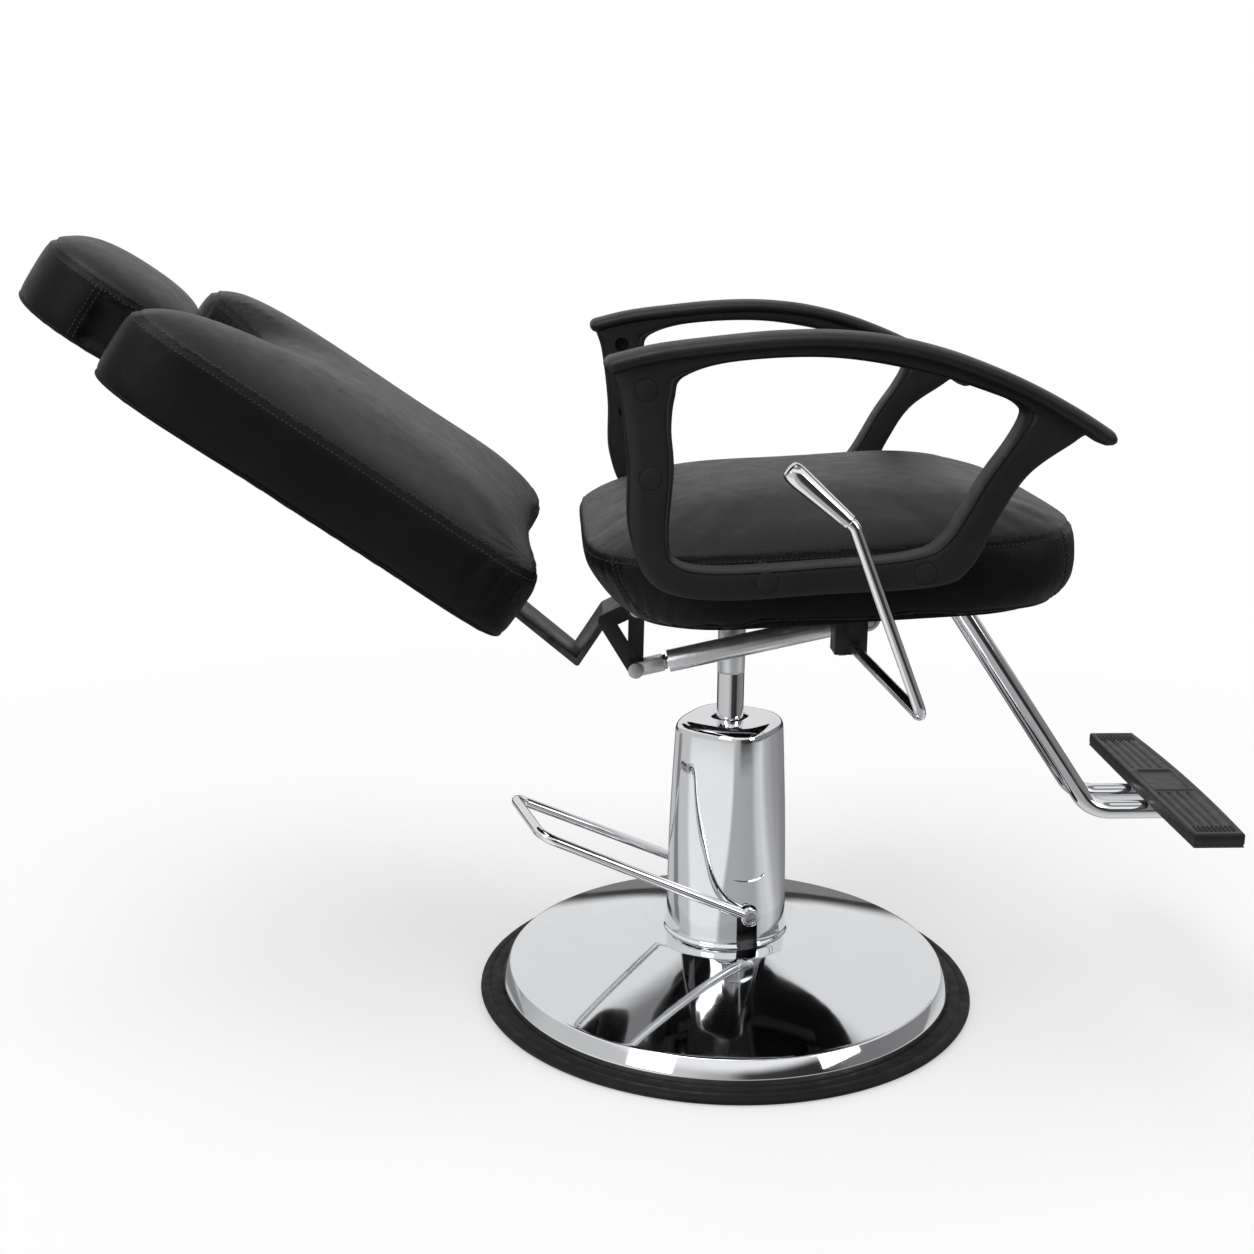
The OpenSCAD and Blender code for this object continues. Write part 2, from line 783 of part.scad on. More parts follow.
// Finger on the near stub that presses the pump's plunger
module cam_finger() {
    color("#6f7378")
        in_pedal()
            difference() {
                union() {
                    y_bar(0, 0, finger_hub_r, finger_in, finger_in + finger_w);
                    translate([0, finger_in, -finger_t / 2])
                        cube([finger_reach, finger_w, finger_t]);
                }
                y_bar(0, 0, stub_r, finger_in - over, finger_in + finger_w + over);
            }
}

module pump_plunger() {
    top = pedal_z - finger_t / 2 - plunger_gap;
    color("#b9bcc0")
        in_pedal()
            translate([plunger_at, finger_in + finger_w / 2, plunger_foot - pedal_z])
                cylinder(r = plunger_r, h = top - plunger_foot);
}

// Polished rod with the spigot that the seat turns on
module lift_rod() {
    color("#c9ccd0") {
        translate([0, 0, rod_foot]) cylinder(r = rod_r, h = shoulder_z - rod_foot);
        translate([0, 0, shoulder_z]) cylinder(r = spigot_r, h = spigot_h);
    }
}

module lift_piston() {
    color("#6f7378")
        translate([0, 0, rod_foot - piston_h]) cylinder(r = piston_r, h = piston_h);
}

module thrust_washer() {
    color("#e8e6df")
        translate([0, 0, shoulder_z])
            difference() {
                cylinder(r = rod_r, h = washer_t);
                translate([0, 0, -over]) cylinder(r = spigot_r + fit, h = washer_t + 2 * over);
            }
}

// Socket under the seat that turns on the rod's spigot
module seat_socket() {
    foot = shoulder_z + washer_t;
    color("#55585c")
        difference() {
            translate([0, 0, foot]) cylinder(r = socket_r, h = mount_z - foot);
            translate([0, 0, foot - over])
                cylinder(r = spigot_r + fit, h = mount_z - foot - socket_cap + over);
        }
}

// Places of the bolts that join the mounting plate to the rails
mount_bolt_at = [for (sx = [-1, 1], sy = [-1, 1]) [sx * mount_bolt_x, sy * rail_at, mount_z]];

module mount_plate() {
    mount_w = 2 * rail_at + rail_w;
    color("#2b2d30")
        difference() {
            translate([-mount_l / 2, -mount_w / 2, mount_z]) cube([mount_l, mount_w, mount_t]);
            for (p = mount_bolt_at)
                translate([p[0], p[1], mount_z - over])
                    cylinder(r = mount_bolt_r, h = mount_t + 2 * over);
        }
}

module mount_bolts() {
    color("#8a8d90")
        for (p = mount_bolt_at)
            translate(p) {
                cylinder(r = mount_bolt_r, h = mount_bolt_l);
                translate([0, 0, -mount_head_h]) cylinder(r = mount_head_r, h = mount_head_h, $fn = 6);
            }
}

// Two steel rails, tapered so that the seat rises to its front
module seat_rails() {
    rail_z = mount_z + mount_t;
    color("#2b2d30")
        for (side = [-1, 1])
            difference() {
                across(side * rail_at - rail_w / 2, side * rail_at + rail_w / 2)
                    polygon([[-rail_rear, rail_z], [rail_front, rail_z],
                        [rail_front, seat_under(rail_front)], [-rail_rear, seat_under(-rail_rear)]]);
                for (p = mount_bolt_at)
                    translate([p[0], p[1], rail_z - over])
                        cylinder(r = mount_bolt_r, h = mount_bolt_l - mount_t + over);
            }
}

// Outline of the cushion's side, with insets at its rear, front and sides
function seat_outline(rear_in, front_in, side_in) =
    soft_oval(rear_in - seat_rear, seat_front - front_in, seat_half - side_in, corner_pow,
        4 * corner_n);

function box_outline(wall) = round_rect(box_rear - seat_rear + wall,
    seat_front - box_front - wall, seat_half - box_side - wall, box_corner - wall / 2, corner_n);

// Places in X and Z of an arm's bolts and screws, from its shares
function arm_place(share) = [arm_rear + share[0] * arm_l, arm_z + share[1] * arm_h];

// Plywood box in the cushion: floor, side walls and bores for the arm bolts
module seat_box() {
    color("#26272a")
        difference() {
            in_seat()
                difference() {
                    linear_extrude(box_h) polygon(box_outline(0));
                    translate([0, 0, box_floor]) linear_extrude(box_h) polygon(box_outline(box_wall));
                    for (p = seat_screw_at)
                        translate([p[0], p[1], -over]) cylinder(r = screw_r, h = screw_in + over);
                }
            for (s = arm_bolt_shares, side = [-1, 1]) {
                p = arm_place(s);
                wall = seat_half - box_side;
                y_bar(p[0], p[1], arm_bolt_r + fit, min(side * (wall + over), side * arm_bolt_end),
                    max(side * (wall + over), side * arm_bolt_end));
            }
        }
}

// Seat cushion: pocket for the box, rounded foot, side band up to the seam and crowned top
module seat_cushion() {
    seam = seat_band_shares[len(seat_band_shares) - 1];
    top = seat_outline(seam[1] * box_rear, seam[2] * box_front, seam[3] * box_side);
    centre = [(seat_front - seat_rear) / 2, 0];
    rings = concat(
        [at_height(box_outline(0), box_h), at_height(box_outline(0), 0)],
        [for (s = seat_band_shares) at_height(seat_outline(s[1] * box_rear, s[2] * box_front,
            s[3] * box_side), s[0] * seat_band_h)],
        [for (s = crown_shares) at_height(shrunk(top, centre, s[0]),
            seat_band_h + s[1] * seat_crown)]);
    color("#232325")
        difference() {
            in_seat()
                ring_skin([centre[0], 0, box_h], rings, [centre[0], 0, seat_band_h + seat_crown]);
            for (s = arm_bolt_shares) {
                p = arm_place(s);
                y_bar(p[0], p[1], arm_boss_r + side_fit, -seat_half - over, seat_half + over);
            }
        }
}

// Points of the arm's section: share from the inner to the outer curve, share of the frame's
// thickness, and share of the pad's overhang outwards (above zero) or inwards (below zero)
arm_section_shares = [[0, 0.2, 0], [0, 0.8, 0], [0.1, 1, 0], [0.42, 1, 0], [0.6, 1, 1],
    [0.86, 1, 1], [1, 0.8, 0.72], [1, 0.2, -0.72], [0.86, 0, -1], [0.6, 0, -1], [0.42, 0, 0],
    [0.1, 0, 0]];

// One arm, on the sitter's left: frame round its opening, broad top pad, bosses and bores
module arm() {
    inner_y = arm_gap / 2;
    outer_over = arm_pad_w - arm_t - arm_pad_over;
    outs = closed_curve([for (s = arm_shares) arm_place(s[0])], arm_steps);
    ins = closed_curve([for (s = arm_shares) arm_place(s[1])], arm_steps);
    pads = closed_curve([for (s = arm_shares) [s[2], 0]], arm_steps);
    sections = [for (i = [0:len(outs) - 1]) [for (s = arm_section_shares)
        let(q = ins[i] + s[0] * (outs[i] - ins[i]), pad = min(max(pads[i][0], 0), 1),
            y = s[1] * arm_t + pad * s[2] * (s[2] > 0 ? outer_over : arm_pad_over))
        [q[0], inner_y + y, q[1]]]];
    difference() {
        union() {
            loop_skin(sections);
            for (s = arm_bolt_shares) {
                p = arm_place(s);
                y_bar(p[0], p[1], arm_boss_r, seat_half - box_side, inner_y + arm_t / 2);
            }
        }
        for (s = arm_bolt_shares) {
            p = arm_place(s);
            y_bar(p[0], p[1], arm_bolt_r + fit, seat_half - box_side - over, inner_y + arm_t + over);
            y_bar(p[0], p[1], plug_r, inner_y + arm_t - plug_t - arm_head_h - side_fit,
                inner_y + arm_t + over);
        }
        for (s = arm_screw_shares) {
            p = arm_place(s);
            y_bar(p[0], p[1], arm_bolt_r + side_fit, inner_y - over, inner_y + arm_t + over);
            y_bar(p[0], p[1], plug_r, inner_y + arm_t - plug_t, inner_y + arm_t + over);
        }
    }
}

module arm_left() {
    color("#2c2d2f") arm();
}

module arm_right() {
    color("#2c2d2f") mirror([0, 1, 0]) arm();
}

// Bolts that hold the arms on the seat's box
module arm_bolts() {
    head_y = arm_gap / 2 + arm_t - plug_t - side_fit;
    color("#8a8d90")
        for (side = [0, 1])
            mirror([0, side, 0])
                for (s = arm_bolt_shares) {
                    p = arm_place(s);
                    y_bar(p[0], p[1], arm_bolt_r, arm_bolt_end, head_y - arm_head_h);
                    y_bar(p[0], p[1], arm_head_r, head_y - arm_head_h, head_y);
                }
}

// Flat plugs in the arms' outer faces
module arm_plugs() {
    color("#26272a")
        for (side = [0, 1])
            mirror([0, side, 0])
                for (s = concat(arm_bolt_shares, arm_screw_shares)) {
                    p = arm_place(s);
                    y_bar(p[0], p[1], plug_r, arm_gap / 2 + arm_t - plug_t, arm_gap / 2 + arm_t);
                }
}

// Plate under the seat with two cheeks for the back's hinge pin
module hinge_bracket() {
    near = -strap_w / 2 - lever_t - side_fit;
    far = strap_w / 2 + side_fit;
    rear = bracket_start - hinge_back;
    cheek_x = cheek_l - hinge_back;
    color("#2b2d30")
        difference() {
            union() {
                in_seat()
                    translate([rear, near - cheek_t - bracket_over, -bracket_t])
                        cube([bracket_l, far - near + 2 * (cheek_t + bracket_over), bracket_t]);
                for (y0 = [near - cheek_t, far])
                    across(y0, y0 + cheek_t) {
                        translate([-hinge_back, hinge_z]) circle(eye_r);
                        polygon([[-hinge_back, hinge_z - eye_r], [cheek_x, hinge_z - pin_r],
                            [cheek_x, seat_under(cheek_x) - bracket_t / 2],
                            [rear + bracket_t, seat_under(rear + bracket_t) - bracket_t / 2],
                            [-hinge_back, hinge_z + eye_r]]);
                    }
            }
            y_bar(-hinge_back, hinge_z, pin_r, near - cheek_t - over, far + cheek_t + over);
            in_seat() screw_holes(bracket_screw_at, bracket_t);
        }
}

module hinge_pin() {
    near = -strap_w / 2 - lever_t - side_fit - cheek_t;
    far = strap_w / 2 + side_fit + cheek_t;
    color("#8a8d90") {
        y_bar(-hinge_back, hinge_z, pin_r, near, far + pin_head_t);
        y_bar(-hinge_back, hinge_z, pin_r + pin_head_t, near - pin_head_t, near);
    }
}

// Holes for the seat's screws through a plate under the box
module screw_holes(places, t) {
    for (p = places)
        translate([p[0], p[1], -t - over]) cylinder(r = screw_r, h = t + 2 * over);
}

module seat_screws() {
    color("#8a8d90")
        in_seat()
            for (p = seat_screw_at) {
                translate([p[0], p[1], -p[2]]) cylinder(r = screw_r, h = screw_in + p[2]);
                translate([p[0], p[1], -p[2] - screw_head_h])
                    cylinder(r = screw_head_r, h = screw_head_h);
            }
}

// Path of the footrest's tubes, on the middle line
foot_path = bent_path([foot_top, [foot_bend_x, 0, foot_z], [foot_tube_end, 0, foot_z]],
    foot_bend_r, rod_steps);

// Clamp under the seat's front that holds both footrest tubes
module footrest_clamp() {
    x0 = clamp_x;
    x1 = clamp_x + clamp_l;
    color("#2b2d30")
        difference() {
            union() {
                in_seat()
                    translate([x0, -clamp_wing, -clamp_t]) cube([clamp_l, 2 * clamp_wing, clamp_t]);
                across(-clamp_w / 2, clamp_w / 2)
                    polygon([[x0, seat_under(x0) - clamp_t / 2], [x0, seat_under(x0) - clamp_drop],
                        [x1 - clamp_chamfer, seat_under(x0) - clamp_drop - clamp_chamfer],
                        [x1, seat_under(x1) - clamp_drop], [x1, seat_under(x1) - clamp_t / 2]]);
            }
            for (side = [-1, 1])
                translate([0, side * foot_tube_gap / 2, 0])
                    bar(foot_top, foot_top + foot_dir * clamp_reach, foot_tube_d / 2);
            in_seat() screw_holes(clamp_screw_at, clamp_t);
        }
}

// Two bent tubes that carry the foot plate
module footrest_tubes() {
    color("#d4d7db")
        for (side = [-1, 1])
            difference() {
                translate([0, side * foot_tube_gap / 2, 0])
                    bent_pipe(foot_path, foot_tube_d / 2, foot_tube_d / 2 - foot_tube_t, [0, 1, 0],
                        rod_sides);
                for (p = foot_screw_at)
                    if (p[1] * side > 0) translate(p) cylinder(r = foot_screw_r, h = foot_screw_l);
            }
}

module tube_plugs() {
    bore_r = (foot_tube_d / 2 - foot_tube_t) * cos(180 / rod_sides) - fit;
    color("#232325")
        for (side = [-1, 1])
            translate([foot_tube_end, side * foot_tube_gap / 2, foot_z])
                rotate([0, 90, 0]) {
                    translate([0, 0, -plug_h]) cylinder(r = bore_r, h = plug_h);
                    cylinder(r = foot_tube_d / 2, h = plug_flange);
                }
}

// Barrel-shaped outline of the foot plate, moved in by a distance
function plate_outline(inset) = let(half = plate_w / 2 - inset, n = 12) concat(
    [for (i = [0:n]) let(t = -1 + 2 * i / n)
        [plate_x + plate_l / 2 - inset - plate_front_bow * t * t, t * half]],
    [for (i = [n:-1:0]) let(t = -1 + 2 * i / n)
        [plate_x - plate_l / 2 + inset + plate_rear_bow * t * t, t * half]]);

plate_foot = foot_z + foot_tube_d / 2;

module foot_plate() {
    color("#6f7378")
        difference() {
            translate([0, 0, plate_foot]) linear_extrude(plate_core_t) polygon(plate_outline(pad_edge));
            for (p = foot_screw_at) translate(p) cylinder(r = foot_screw_r, h = foot_screw_l + over);
        }
}

// Rubber cover of the foot plate, with a lip round the plate's edge
module foot_rubber() {
    color("#1d1e1f")
        difference() {
            translate([0, 0, plate_foot]) linear_extrude(plate_core_t + plate_pad_t)
                polygon(plate_outline(0));
            translate([0, 0, plate_foot - over]) linear_extrude(plate_core_t + over)
                polygon(plate_outline(pad_edge));
        }
}

module foot_screws() {
    color("#8a8d90")
        for (p = foot_screw_at) translate(p) cylinder(r = foot_screw_r, h = foot_screw_l);
}

// Bar of a width between two points, drawn flat
module strip(a, b, w) {
    n = w / 2 * unit([a[1] - b[1], b[0] - a[0]]);
    polygon([a + n, a - n, b - n, b + n]);
}

// Block under the seat that the lever's shaft turns in
module lever_block() {
    x0 = block_x - block_l / 2;
    x1 = block_x + block_l / 2;
    color("#232427")
        difference() {
            across(-block_y - block_w / 2, -block_y + block_w / 2)
                polygon([[x0, block_foot_z], [x1, block_foot_z], [x1, seat_under(x1)],
                    [x0, seat_under(x0)]]);
            bar(lever_start, lever_low, lever_d / 2 + fit);
            in_seat()
                for (p = block_screw_at)
                    translate([p[0], p[1], -screw_sink]) cylinder(r = screw_r, h = screw_sink + over);
        }
}

// Front anchor of the recline cylinder: plate under the seat with two cheeks and a pin hole
module cylinder_anchor() {
    gap = anchor_eye_t / 2 + side_fit;
    half = gap + anchor_cheek_t + bracket_over;
    color("#2b2d30")
        difference() {
            union() {
                in_seat()
                    translate([anchor_x - anchor_l / 2, clevis_y - half, -bracket_t])
                        cube([anchor_l, 2 * half, bracket_t]);
                for (y0 = [clevis_y - gap - anchor_cheek_t, clevis_y + gap])
                    across(y0, y0 + anchor_cheek_t) {
                        top = seat_under(anchor_x - anchor_cheek_r) - bracket_t / 2;
                        translate([anchor_x, anchor_z]) circle(anchor_cheek_r);
                        translate([anchor_x - anchor_cheek_r, anchor_z])
                            square([2 * anchor_cheek_r, top - anchor_z]);
                    }
            }
            y_bar(anchor_x, anchor_z, anchor_pin_r, clevis_y - gap - anchor_cheek_t - over,
                clevis_y + gap + anchor_cheek_t + over);
            in_seat() screw_holes(anchor_screw_at, bracket_t);
        }
}

module anchor_pin() {
    out = anchor_eye_t / 2 + side_fit + anchor_cheek_t;
    color("#8a8d90") {
        y_bar(anchor_x, anchor_z, anchor_pin_r, clevis_y - out, clevis_y + out);
        y_bar(anchor_x, anchor_z, anchor_pin_r + pin_head_t, clevis_y - out - pin_head_t,
            clevis_y - out);
    }
}

// Place in X and Z of a point given in the back's own frame
function from_back(n, u) = [-hinge_back + n * sin(back_angle) - u * cos(back_angle),
    hinge_z + n * cos(back_angle) + u * sin(back_angle)];

// Steel strap behind the back, bent down in a V and up again to its hinge eye
module back_strap() {
    lay_n = -back_band - strap_t / 2;
    path = [from_back(lay_n, strap_lay), from_back(lay_n, back_foot - strap_entry),
        [-bend_x, bend_z + strap_t / 2], [-strap_rise_x, strap_rise_z], [-hinge_back, hinge_z]];
    color("#1f2022")
        difference() {
            union() {
                across(-strap_w / 2, strap_w / 2) {
                    for (i = [0:len(path) - 2]) strip(path[i], path[i + 1], strap_t);
                    for (i = [1:len(path) - 2]) translate(path[i]) circle(strap_t / 2);
                    translate([-hinge_back, hinge_z]) circle(eye_r);
                }
            }
            y_bar(-hinge_back, hinge_z, pin_r + fit, -strap_w / 2 - over, strap_w / 2 + over);
            in_back()
                for (p = strap_screw_at)
                    translate([-back_band - strap_t - over, p[0], p[1]])
                        rotate([0, 90, 0]) cylinder(r = screw_r, h = strap_t + 2 * over);
        }
}

// Pressed lever on the strap's near flank, from the hinge down to the cylinder's bolt
module back_lever() {
    eye = [-hinge_back, hinge_z];
    knee = [-strap_rise_x, strap_rise_z];
    foot = [-clevis_x, clevis_z];
    color("#1f2022")
        difference() {
            across(-strap_w / 2 - lever_t, -strap_w / 2) {
                strip(eye, foot, 2 * lever_foot_r);
                strip(knee, foot, 2 * lever_foot_r);
                strip(eye, knee, 2 * lever_foot_r);
                translate(eye) circle(eye_r);
                translate(knee) circle(lever_foot_r);
                translate(foot) circle(lever_foot_r);
            }
            y_bar(-hinge_back, hinge_z, pin_r + fit, -strap_w / 2 - lever_t - over,
                -strap_w / 2 + over);
            y_bar(-clevis_x, clevis_z, clevis_bolt_r + fit, -strap_w / 2 - lever_t - over,
                -strap_w / 2 + over);
        }
}

module strap_screws() {
    color("#8a8d90")
        in_back()
            for (p = strap_screw_at)
                translate([-back_band - strap_t, p[0], p[1]])
                    rotate([0, 90, 0]) {
                        cylinder(r = screw_r, h = strap_t + screw_in);
                        translate([0, 0, -screw_head_h]) cylinder(r = screw_head_r, h = screw_head_h);
                    }
}

// Closed outline of the back, across and along it
function mirrored(p) = concat(p, [for (i = [len(p) - 2:-1:1]) [-p[i][0], p[i][1]]]);

back_outline = closed_curve(mirrored(concat(
    [for (s = back_side_shares) [s[0] * half_back, back_foot + s[1] * back_l]],
    [for (s = notch_shares) [s[0] * notch_w, back_foot + back_l - s[1] * notch_d]])), back_steps);

function on_back(p, n) = [for (q = p) [n, q[0], q[1]]];

// Plate square to the back's face, from an outline across and along the back
module back_plate(n0, t) {
    translate([n0, 0, 0]) rotate([90, 0, 90]) linear_extrude(t) children();
}

module back_board() {
    color("#26272a")
        in_back()
            difference() {
                back_plate(-back_band, back_board_t) polygon(drawn_in(back_outline, back_board_in));
                for (p = strap_screw_at)
                    translate([-back_band - over, p[0], p[1]])
                        rotate([0, 90, 0]) cylinder(r = screw_r, h = screw_in + over);
            }
}

board_face = -back_band + back_board_t;
bar_n = board_face + guide_floor;
guide_w = head_bar_w + 2 * guide_wall;
guide_t = head_bar_t + 2 * guide_floor;

// Back cushion: pocket for the board, round edges, side band, crowned front and headrest notch
module back_cushion() {
    board = drawn_in(back_outline, back_board_in);
    centre = [0, back_foot + back_center_share * back_l];
    seam_in = back_band_shares[len(back_band_shares) - 1][1] * back_board_in;
    top = drawn_in(back_outline, seam_in);
    rings = concat(
        [on_back(board, board_face), on_back(board, -back_band)],
        [for (s = back_band_shares) on_back(drawn_in(back_outline, s[1] * back_board_in),
            (s[0] - 1) * back_band)],
        [for (s = crown_shares) on_back(shrunk(top, centre, s[0]), s[1] * back_crown)]);
    color("#232325")
        in_back()
            difference() {
                ring_skin([board_face, centre[0], centre[1]], rings,
                    [back_crown, centre[0], centre[1]]);
                translate([board_face - over, -guide_w / 2 - soft_gap,
                    notch_u - guide_top - guide_l - soft_gap])
                    cube([guide_t + soft_gap + over, guide_w + 2 * soft_gap,
                        guide_l + notch_d]);
            }
}

// Channel on the back's board that the headrest's bar slides in
module headrest_guide() {
    u0 = notch_u - guide_top - guide_l;
    color("#2b2d30")
        in_back()
            difference() {
                translate([board_face, -guide_w / 2, u0]) cube([guide_t, guide_w, guide_l]);
                translate([bar_n - guide_fit, -head_bar_w / 2 - guide_fit, u0 - over])
                    cube([head_bar_t + 2 * guide_fit, head_bar_w + 2 * guide_fit,
                        guide_l + 2 * over]);
            }
}

head_rear = head_seam - head_band;
head_screw_at = [for (k = [0, 1]) [0, head_bar_foot + head_bar_l - head_screw_in
    - k * head_screw_gap]];

// Steel bar that carries the headrest
module headrest_bar() {
    color("#1f2022")
        in_back()
            difference() {
                translate([bar_n, -head_bar_w / 2, head_bar_foot])
                    cube([head_bar_t, head_bar_w, head_bar_l]);
                for (p = head_screw_at)
                    translate([bar_n - over, p[0], p[1]])
                        rotate([0, 90, 0]) cylinder(r = screw_r, h = head_bar_t + 2 * over);
            }
}

head_outline = [for (q = soft_oval(head_foot, head_foot + head_l, head_w / 2, head_pow, head_n))
    [-q[1], q[0]]];

module headrest_block() {
    color("#a98a5e")
        in_back()
            difference() {
                back_plate(head_rear, bar_n - head_rear)
                    polygon(drawn_in(head_outline, head_block_in));
                for (p = head_screw_at)
                    translate([bar_n - screw_in, p[0], p[1]])
                        rotate([0, 90, 0]) cylinder(r = screw_r, h = screw_in + over);
            }
}

// Countersunk screws, flush with the bar's face
module head_screws() {
    color("#8a8d90")
        in_back()
            for (p = head_screw_at)
                translate([bar_n - screw_in, p[0], p[1]])
                    rotate([0, 90, 0]) cylinder(r = screw_r, h = screw_in + head_bar_t);
}

// Headrest cushion: pocket for its block, recess for the bar, side band and crowned front
module headrest_cushion() {
    centre = [0, head_foot + head_l / 2];
    board = drawn_in(head_outline, head_block_in);
    top = drawn_in(head_outline, head_seam_share * head_block_in);
    rings = concat(
        [on_back(board, bar_n), on_back(board, head_rear)],
        [for (s = back_band_shares) on_back(drawn_in(head_outline, s[1] * head_block_in),
            head_rear + s[0] * head_band)],
        [for (s = crown_shares) on_back(shrunk(top, centre, s[0]), head_seam + s[1] * head_crown)]);
    color("#232325")
        in_back()
            difference() {
                ring_skin([bar_n, centre[0], centre[1]], rings,
                    [head_seam + head_crown, centre[0], centre[1]]);
                translate([bar_n - soft_gap, -head_bar_w / 2 - soft_gap, head_foot - over])
                    cube([head_bar_t + 2 * soft_gap, head_bar_w + 2 * soft_gap,
                        head_bar_foot + head_bar_l + soft_gap - head_foot + over]);
                translate([(head_seam + head_rear - recess_t) / 2, -recess_w / 2, head_foot - over])
                    cube([recess_t, recess_w, recess_d + over]);
            }
}

// Forked end of the recline cylinder's rod
module cylinder_clevis() {
    gap = lever_t / 2 + side_fit;
    half = gap + clevis_tine;
    color("#c9ccd0")
        in_cylinder()
            difference() {
                union() {
                    for (y0 = [-half, gap]) {
                        y_bar(0, 0, clevis_r, y0, y0 + clevis_tine);
                        translate([-clevis_r, y0, 0]) cube([2 * clevis_r, clevis_tine, clevis_l]);
                    }
                    translate([-clevis_r, -half, clevis_slot])
                        cube([2 * clevis_r, 2 * half, clevis_l - clevis_slot]);
                }
                y_bar(0, 0, clevis_bolt_r, -half - over, half + over);
                translate([0, 0, clevis_slot - over]) cylinder(r = cyl_rod_d / 2, h = clevis_l);
            }
}

module clevis_bolt() {
    half = lever_t / 2 + side_fit + clevis_tine;
    color("#c9ccd0")
        in_cylinder() {
            y_bar(0, 0, clevis_bolt_r, -half, half + clevis_head_h);
            y_bar(0, 0, clevis_head_r, -half - clevis_head_h, -half);
            y_bar(0, 0, clevis_head_r, half, half + clevis_head_h);
        }
}

module clevis_nut() {
    color("#c9ccd0")
        in_cylinder()
            difference() {
                translate([0, 0, clevis_l]) cylinder(r = nut_r, h = nut_w, $fn = 6);
                translate([0, 0, clevis_l - over]) cylinder(r = cyl_rod_d / 2, h = nut_w + 2 * over);
            }
}

module cylinder_rod() {
    color("#d4d7db")
        in_cylinder()
            translate([0, 0, clevis_slot])
                cylinder(r = cyl_rod_d / 2, h = tube_start + rod_in_tube - clevis_slot);
}

// Tube with the bore that the rod slides in and the eye at the front anchor
module cylinder_tube() {
    color("#b9bcc0")
        in_cylinder()
            difference() {
                union() {
                    translate([0, 0, tube_start]) cylinder(r = tube_d / 2, h = tube_end - tube_start);
                    translate([0, 0, tube_end - over]) cylinder(r = stem_r, h = cyl_len - tube_end);
                    y_bar(0, cyl_len, anchor_eye_r, -anchor_eye_t / 2, anchor_eye_t / 2);
                }
                translate([0, 0, tube_start - over])
                    cylinder(r = cyl_rod_d / 2 + fit, h = rod_in_tube + 2 * over);
                y_bar(0, cyl_len, anchor_pin_r + anchor_clear, -anchor_eye_t, anchor_eye_t);
            }
}

// Bent rod: round shaft through the block, leg up beside the arm and an end in the grip
module lever_rod() {
    shaft_end = lever_start + lever_axis * lever_turned_l;
    path = bent_path([shaft_end, lever_low, lever_knee, lever_knee + grip_dir
        * (grip_gap + grip_sink)], lever_bend_r, rod_steps);
    color("#d4d7db") {
        bar(lever_start, shaft_end + lever_axis * over, lever_d / 2);
        bent_rod(path, lever_d / 2 / cos(180 / rod_sides) + fit, [1, 0, 1], rod_sides);
    }
}

// Tapered grip with a round end
module lever_grip() {
    v = acos(grip_dir[2]);
    color("#dfe2e6")
        translate(lever_knee + grip_dir * grip_gap)
            rotate([0, v, atan2(grip_dir[1], grip_dir[0])])
                difference() {
                    rotate_extrude()
                        polygon(concat([[0, 0], [grip_root_r, 0]],
                            arc(0, grip_l - grip_d / 2, grip_d / 2, 0, 90), [[0, grip_l]]));
                    translate([0, 0, -over])
                        cylinder(r = lever_d / 2 / cos(180 / rod_sides) + 2 * fit,
                            h = grip_sink + over);
                }
}

// Tab on the shaft's inner end that works the recline cylinder's release
module lever_tab() {
    v = unit(lever_low - lever_start);
    color("#8a8d90")
        translate(lever_start)
            rotate([0, acos(v[2]), atan2(v[1], v[0])])
                difference() {
                    union() {
                        cylinder(r = tab_r, h = tab_t);
                        translate([0, -tab_r / 2, 0]) cube([tab_reach, tab_r, tab_t]);
                    }
                    translate([0, 0, -over]) cylinder(r = lever_d / 2, h = tab_t + 2 * over);
                }
}

floor_ring();
bottom_plate();
base_dish();
pump_body();
pump_bolts();
pump_cylinder();
gland_nut();
rod_wiper();
plunger_barrel();
pump_cover();
pedal_loop();
pedal_stubs();
cam_finger();
pump_plunger();
lift_rod();
lift_piston();
thrust_washer();
seat_socket();
mount_plate();
mount_bolts();
seat_rails();
seat_box();
seat_cushion();
arm_right();
arm_left();
arm_bolts();
arm_plugs();
hinge_bracket();
hinge_pin();
footrest_clamp();
footrest_tubes();
tube_plugs();
foot_plate();
foot_rubber();
foot_screws();
lever_block();
cylinder_anchor();
anchor_pin();
back_strap();
back_lever();
strap_screws();
back_board();
back_cushion();
headrest_guide();
cylinder_clevis();
clevis_bolt();
clevis_nut();
cylinder_rod();
cylinder_tube();
lever_rod();
lever_grip();
lever_tab();
headrest_bar();
headrest_block();
head_screws();
seat_screws();
headrest_cushion();
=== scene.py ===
import json
import math

import bmesh
import bpy
import numpy as np
from mathutils import Matrix, Vector
from mathutils.bvhtree import BVHTree
from mathutils.kdtree import KDTree


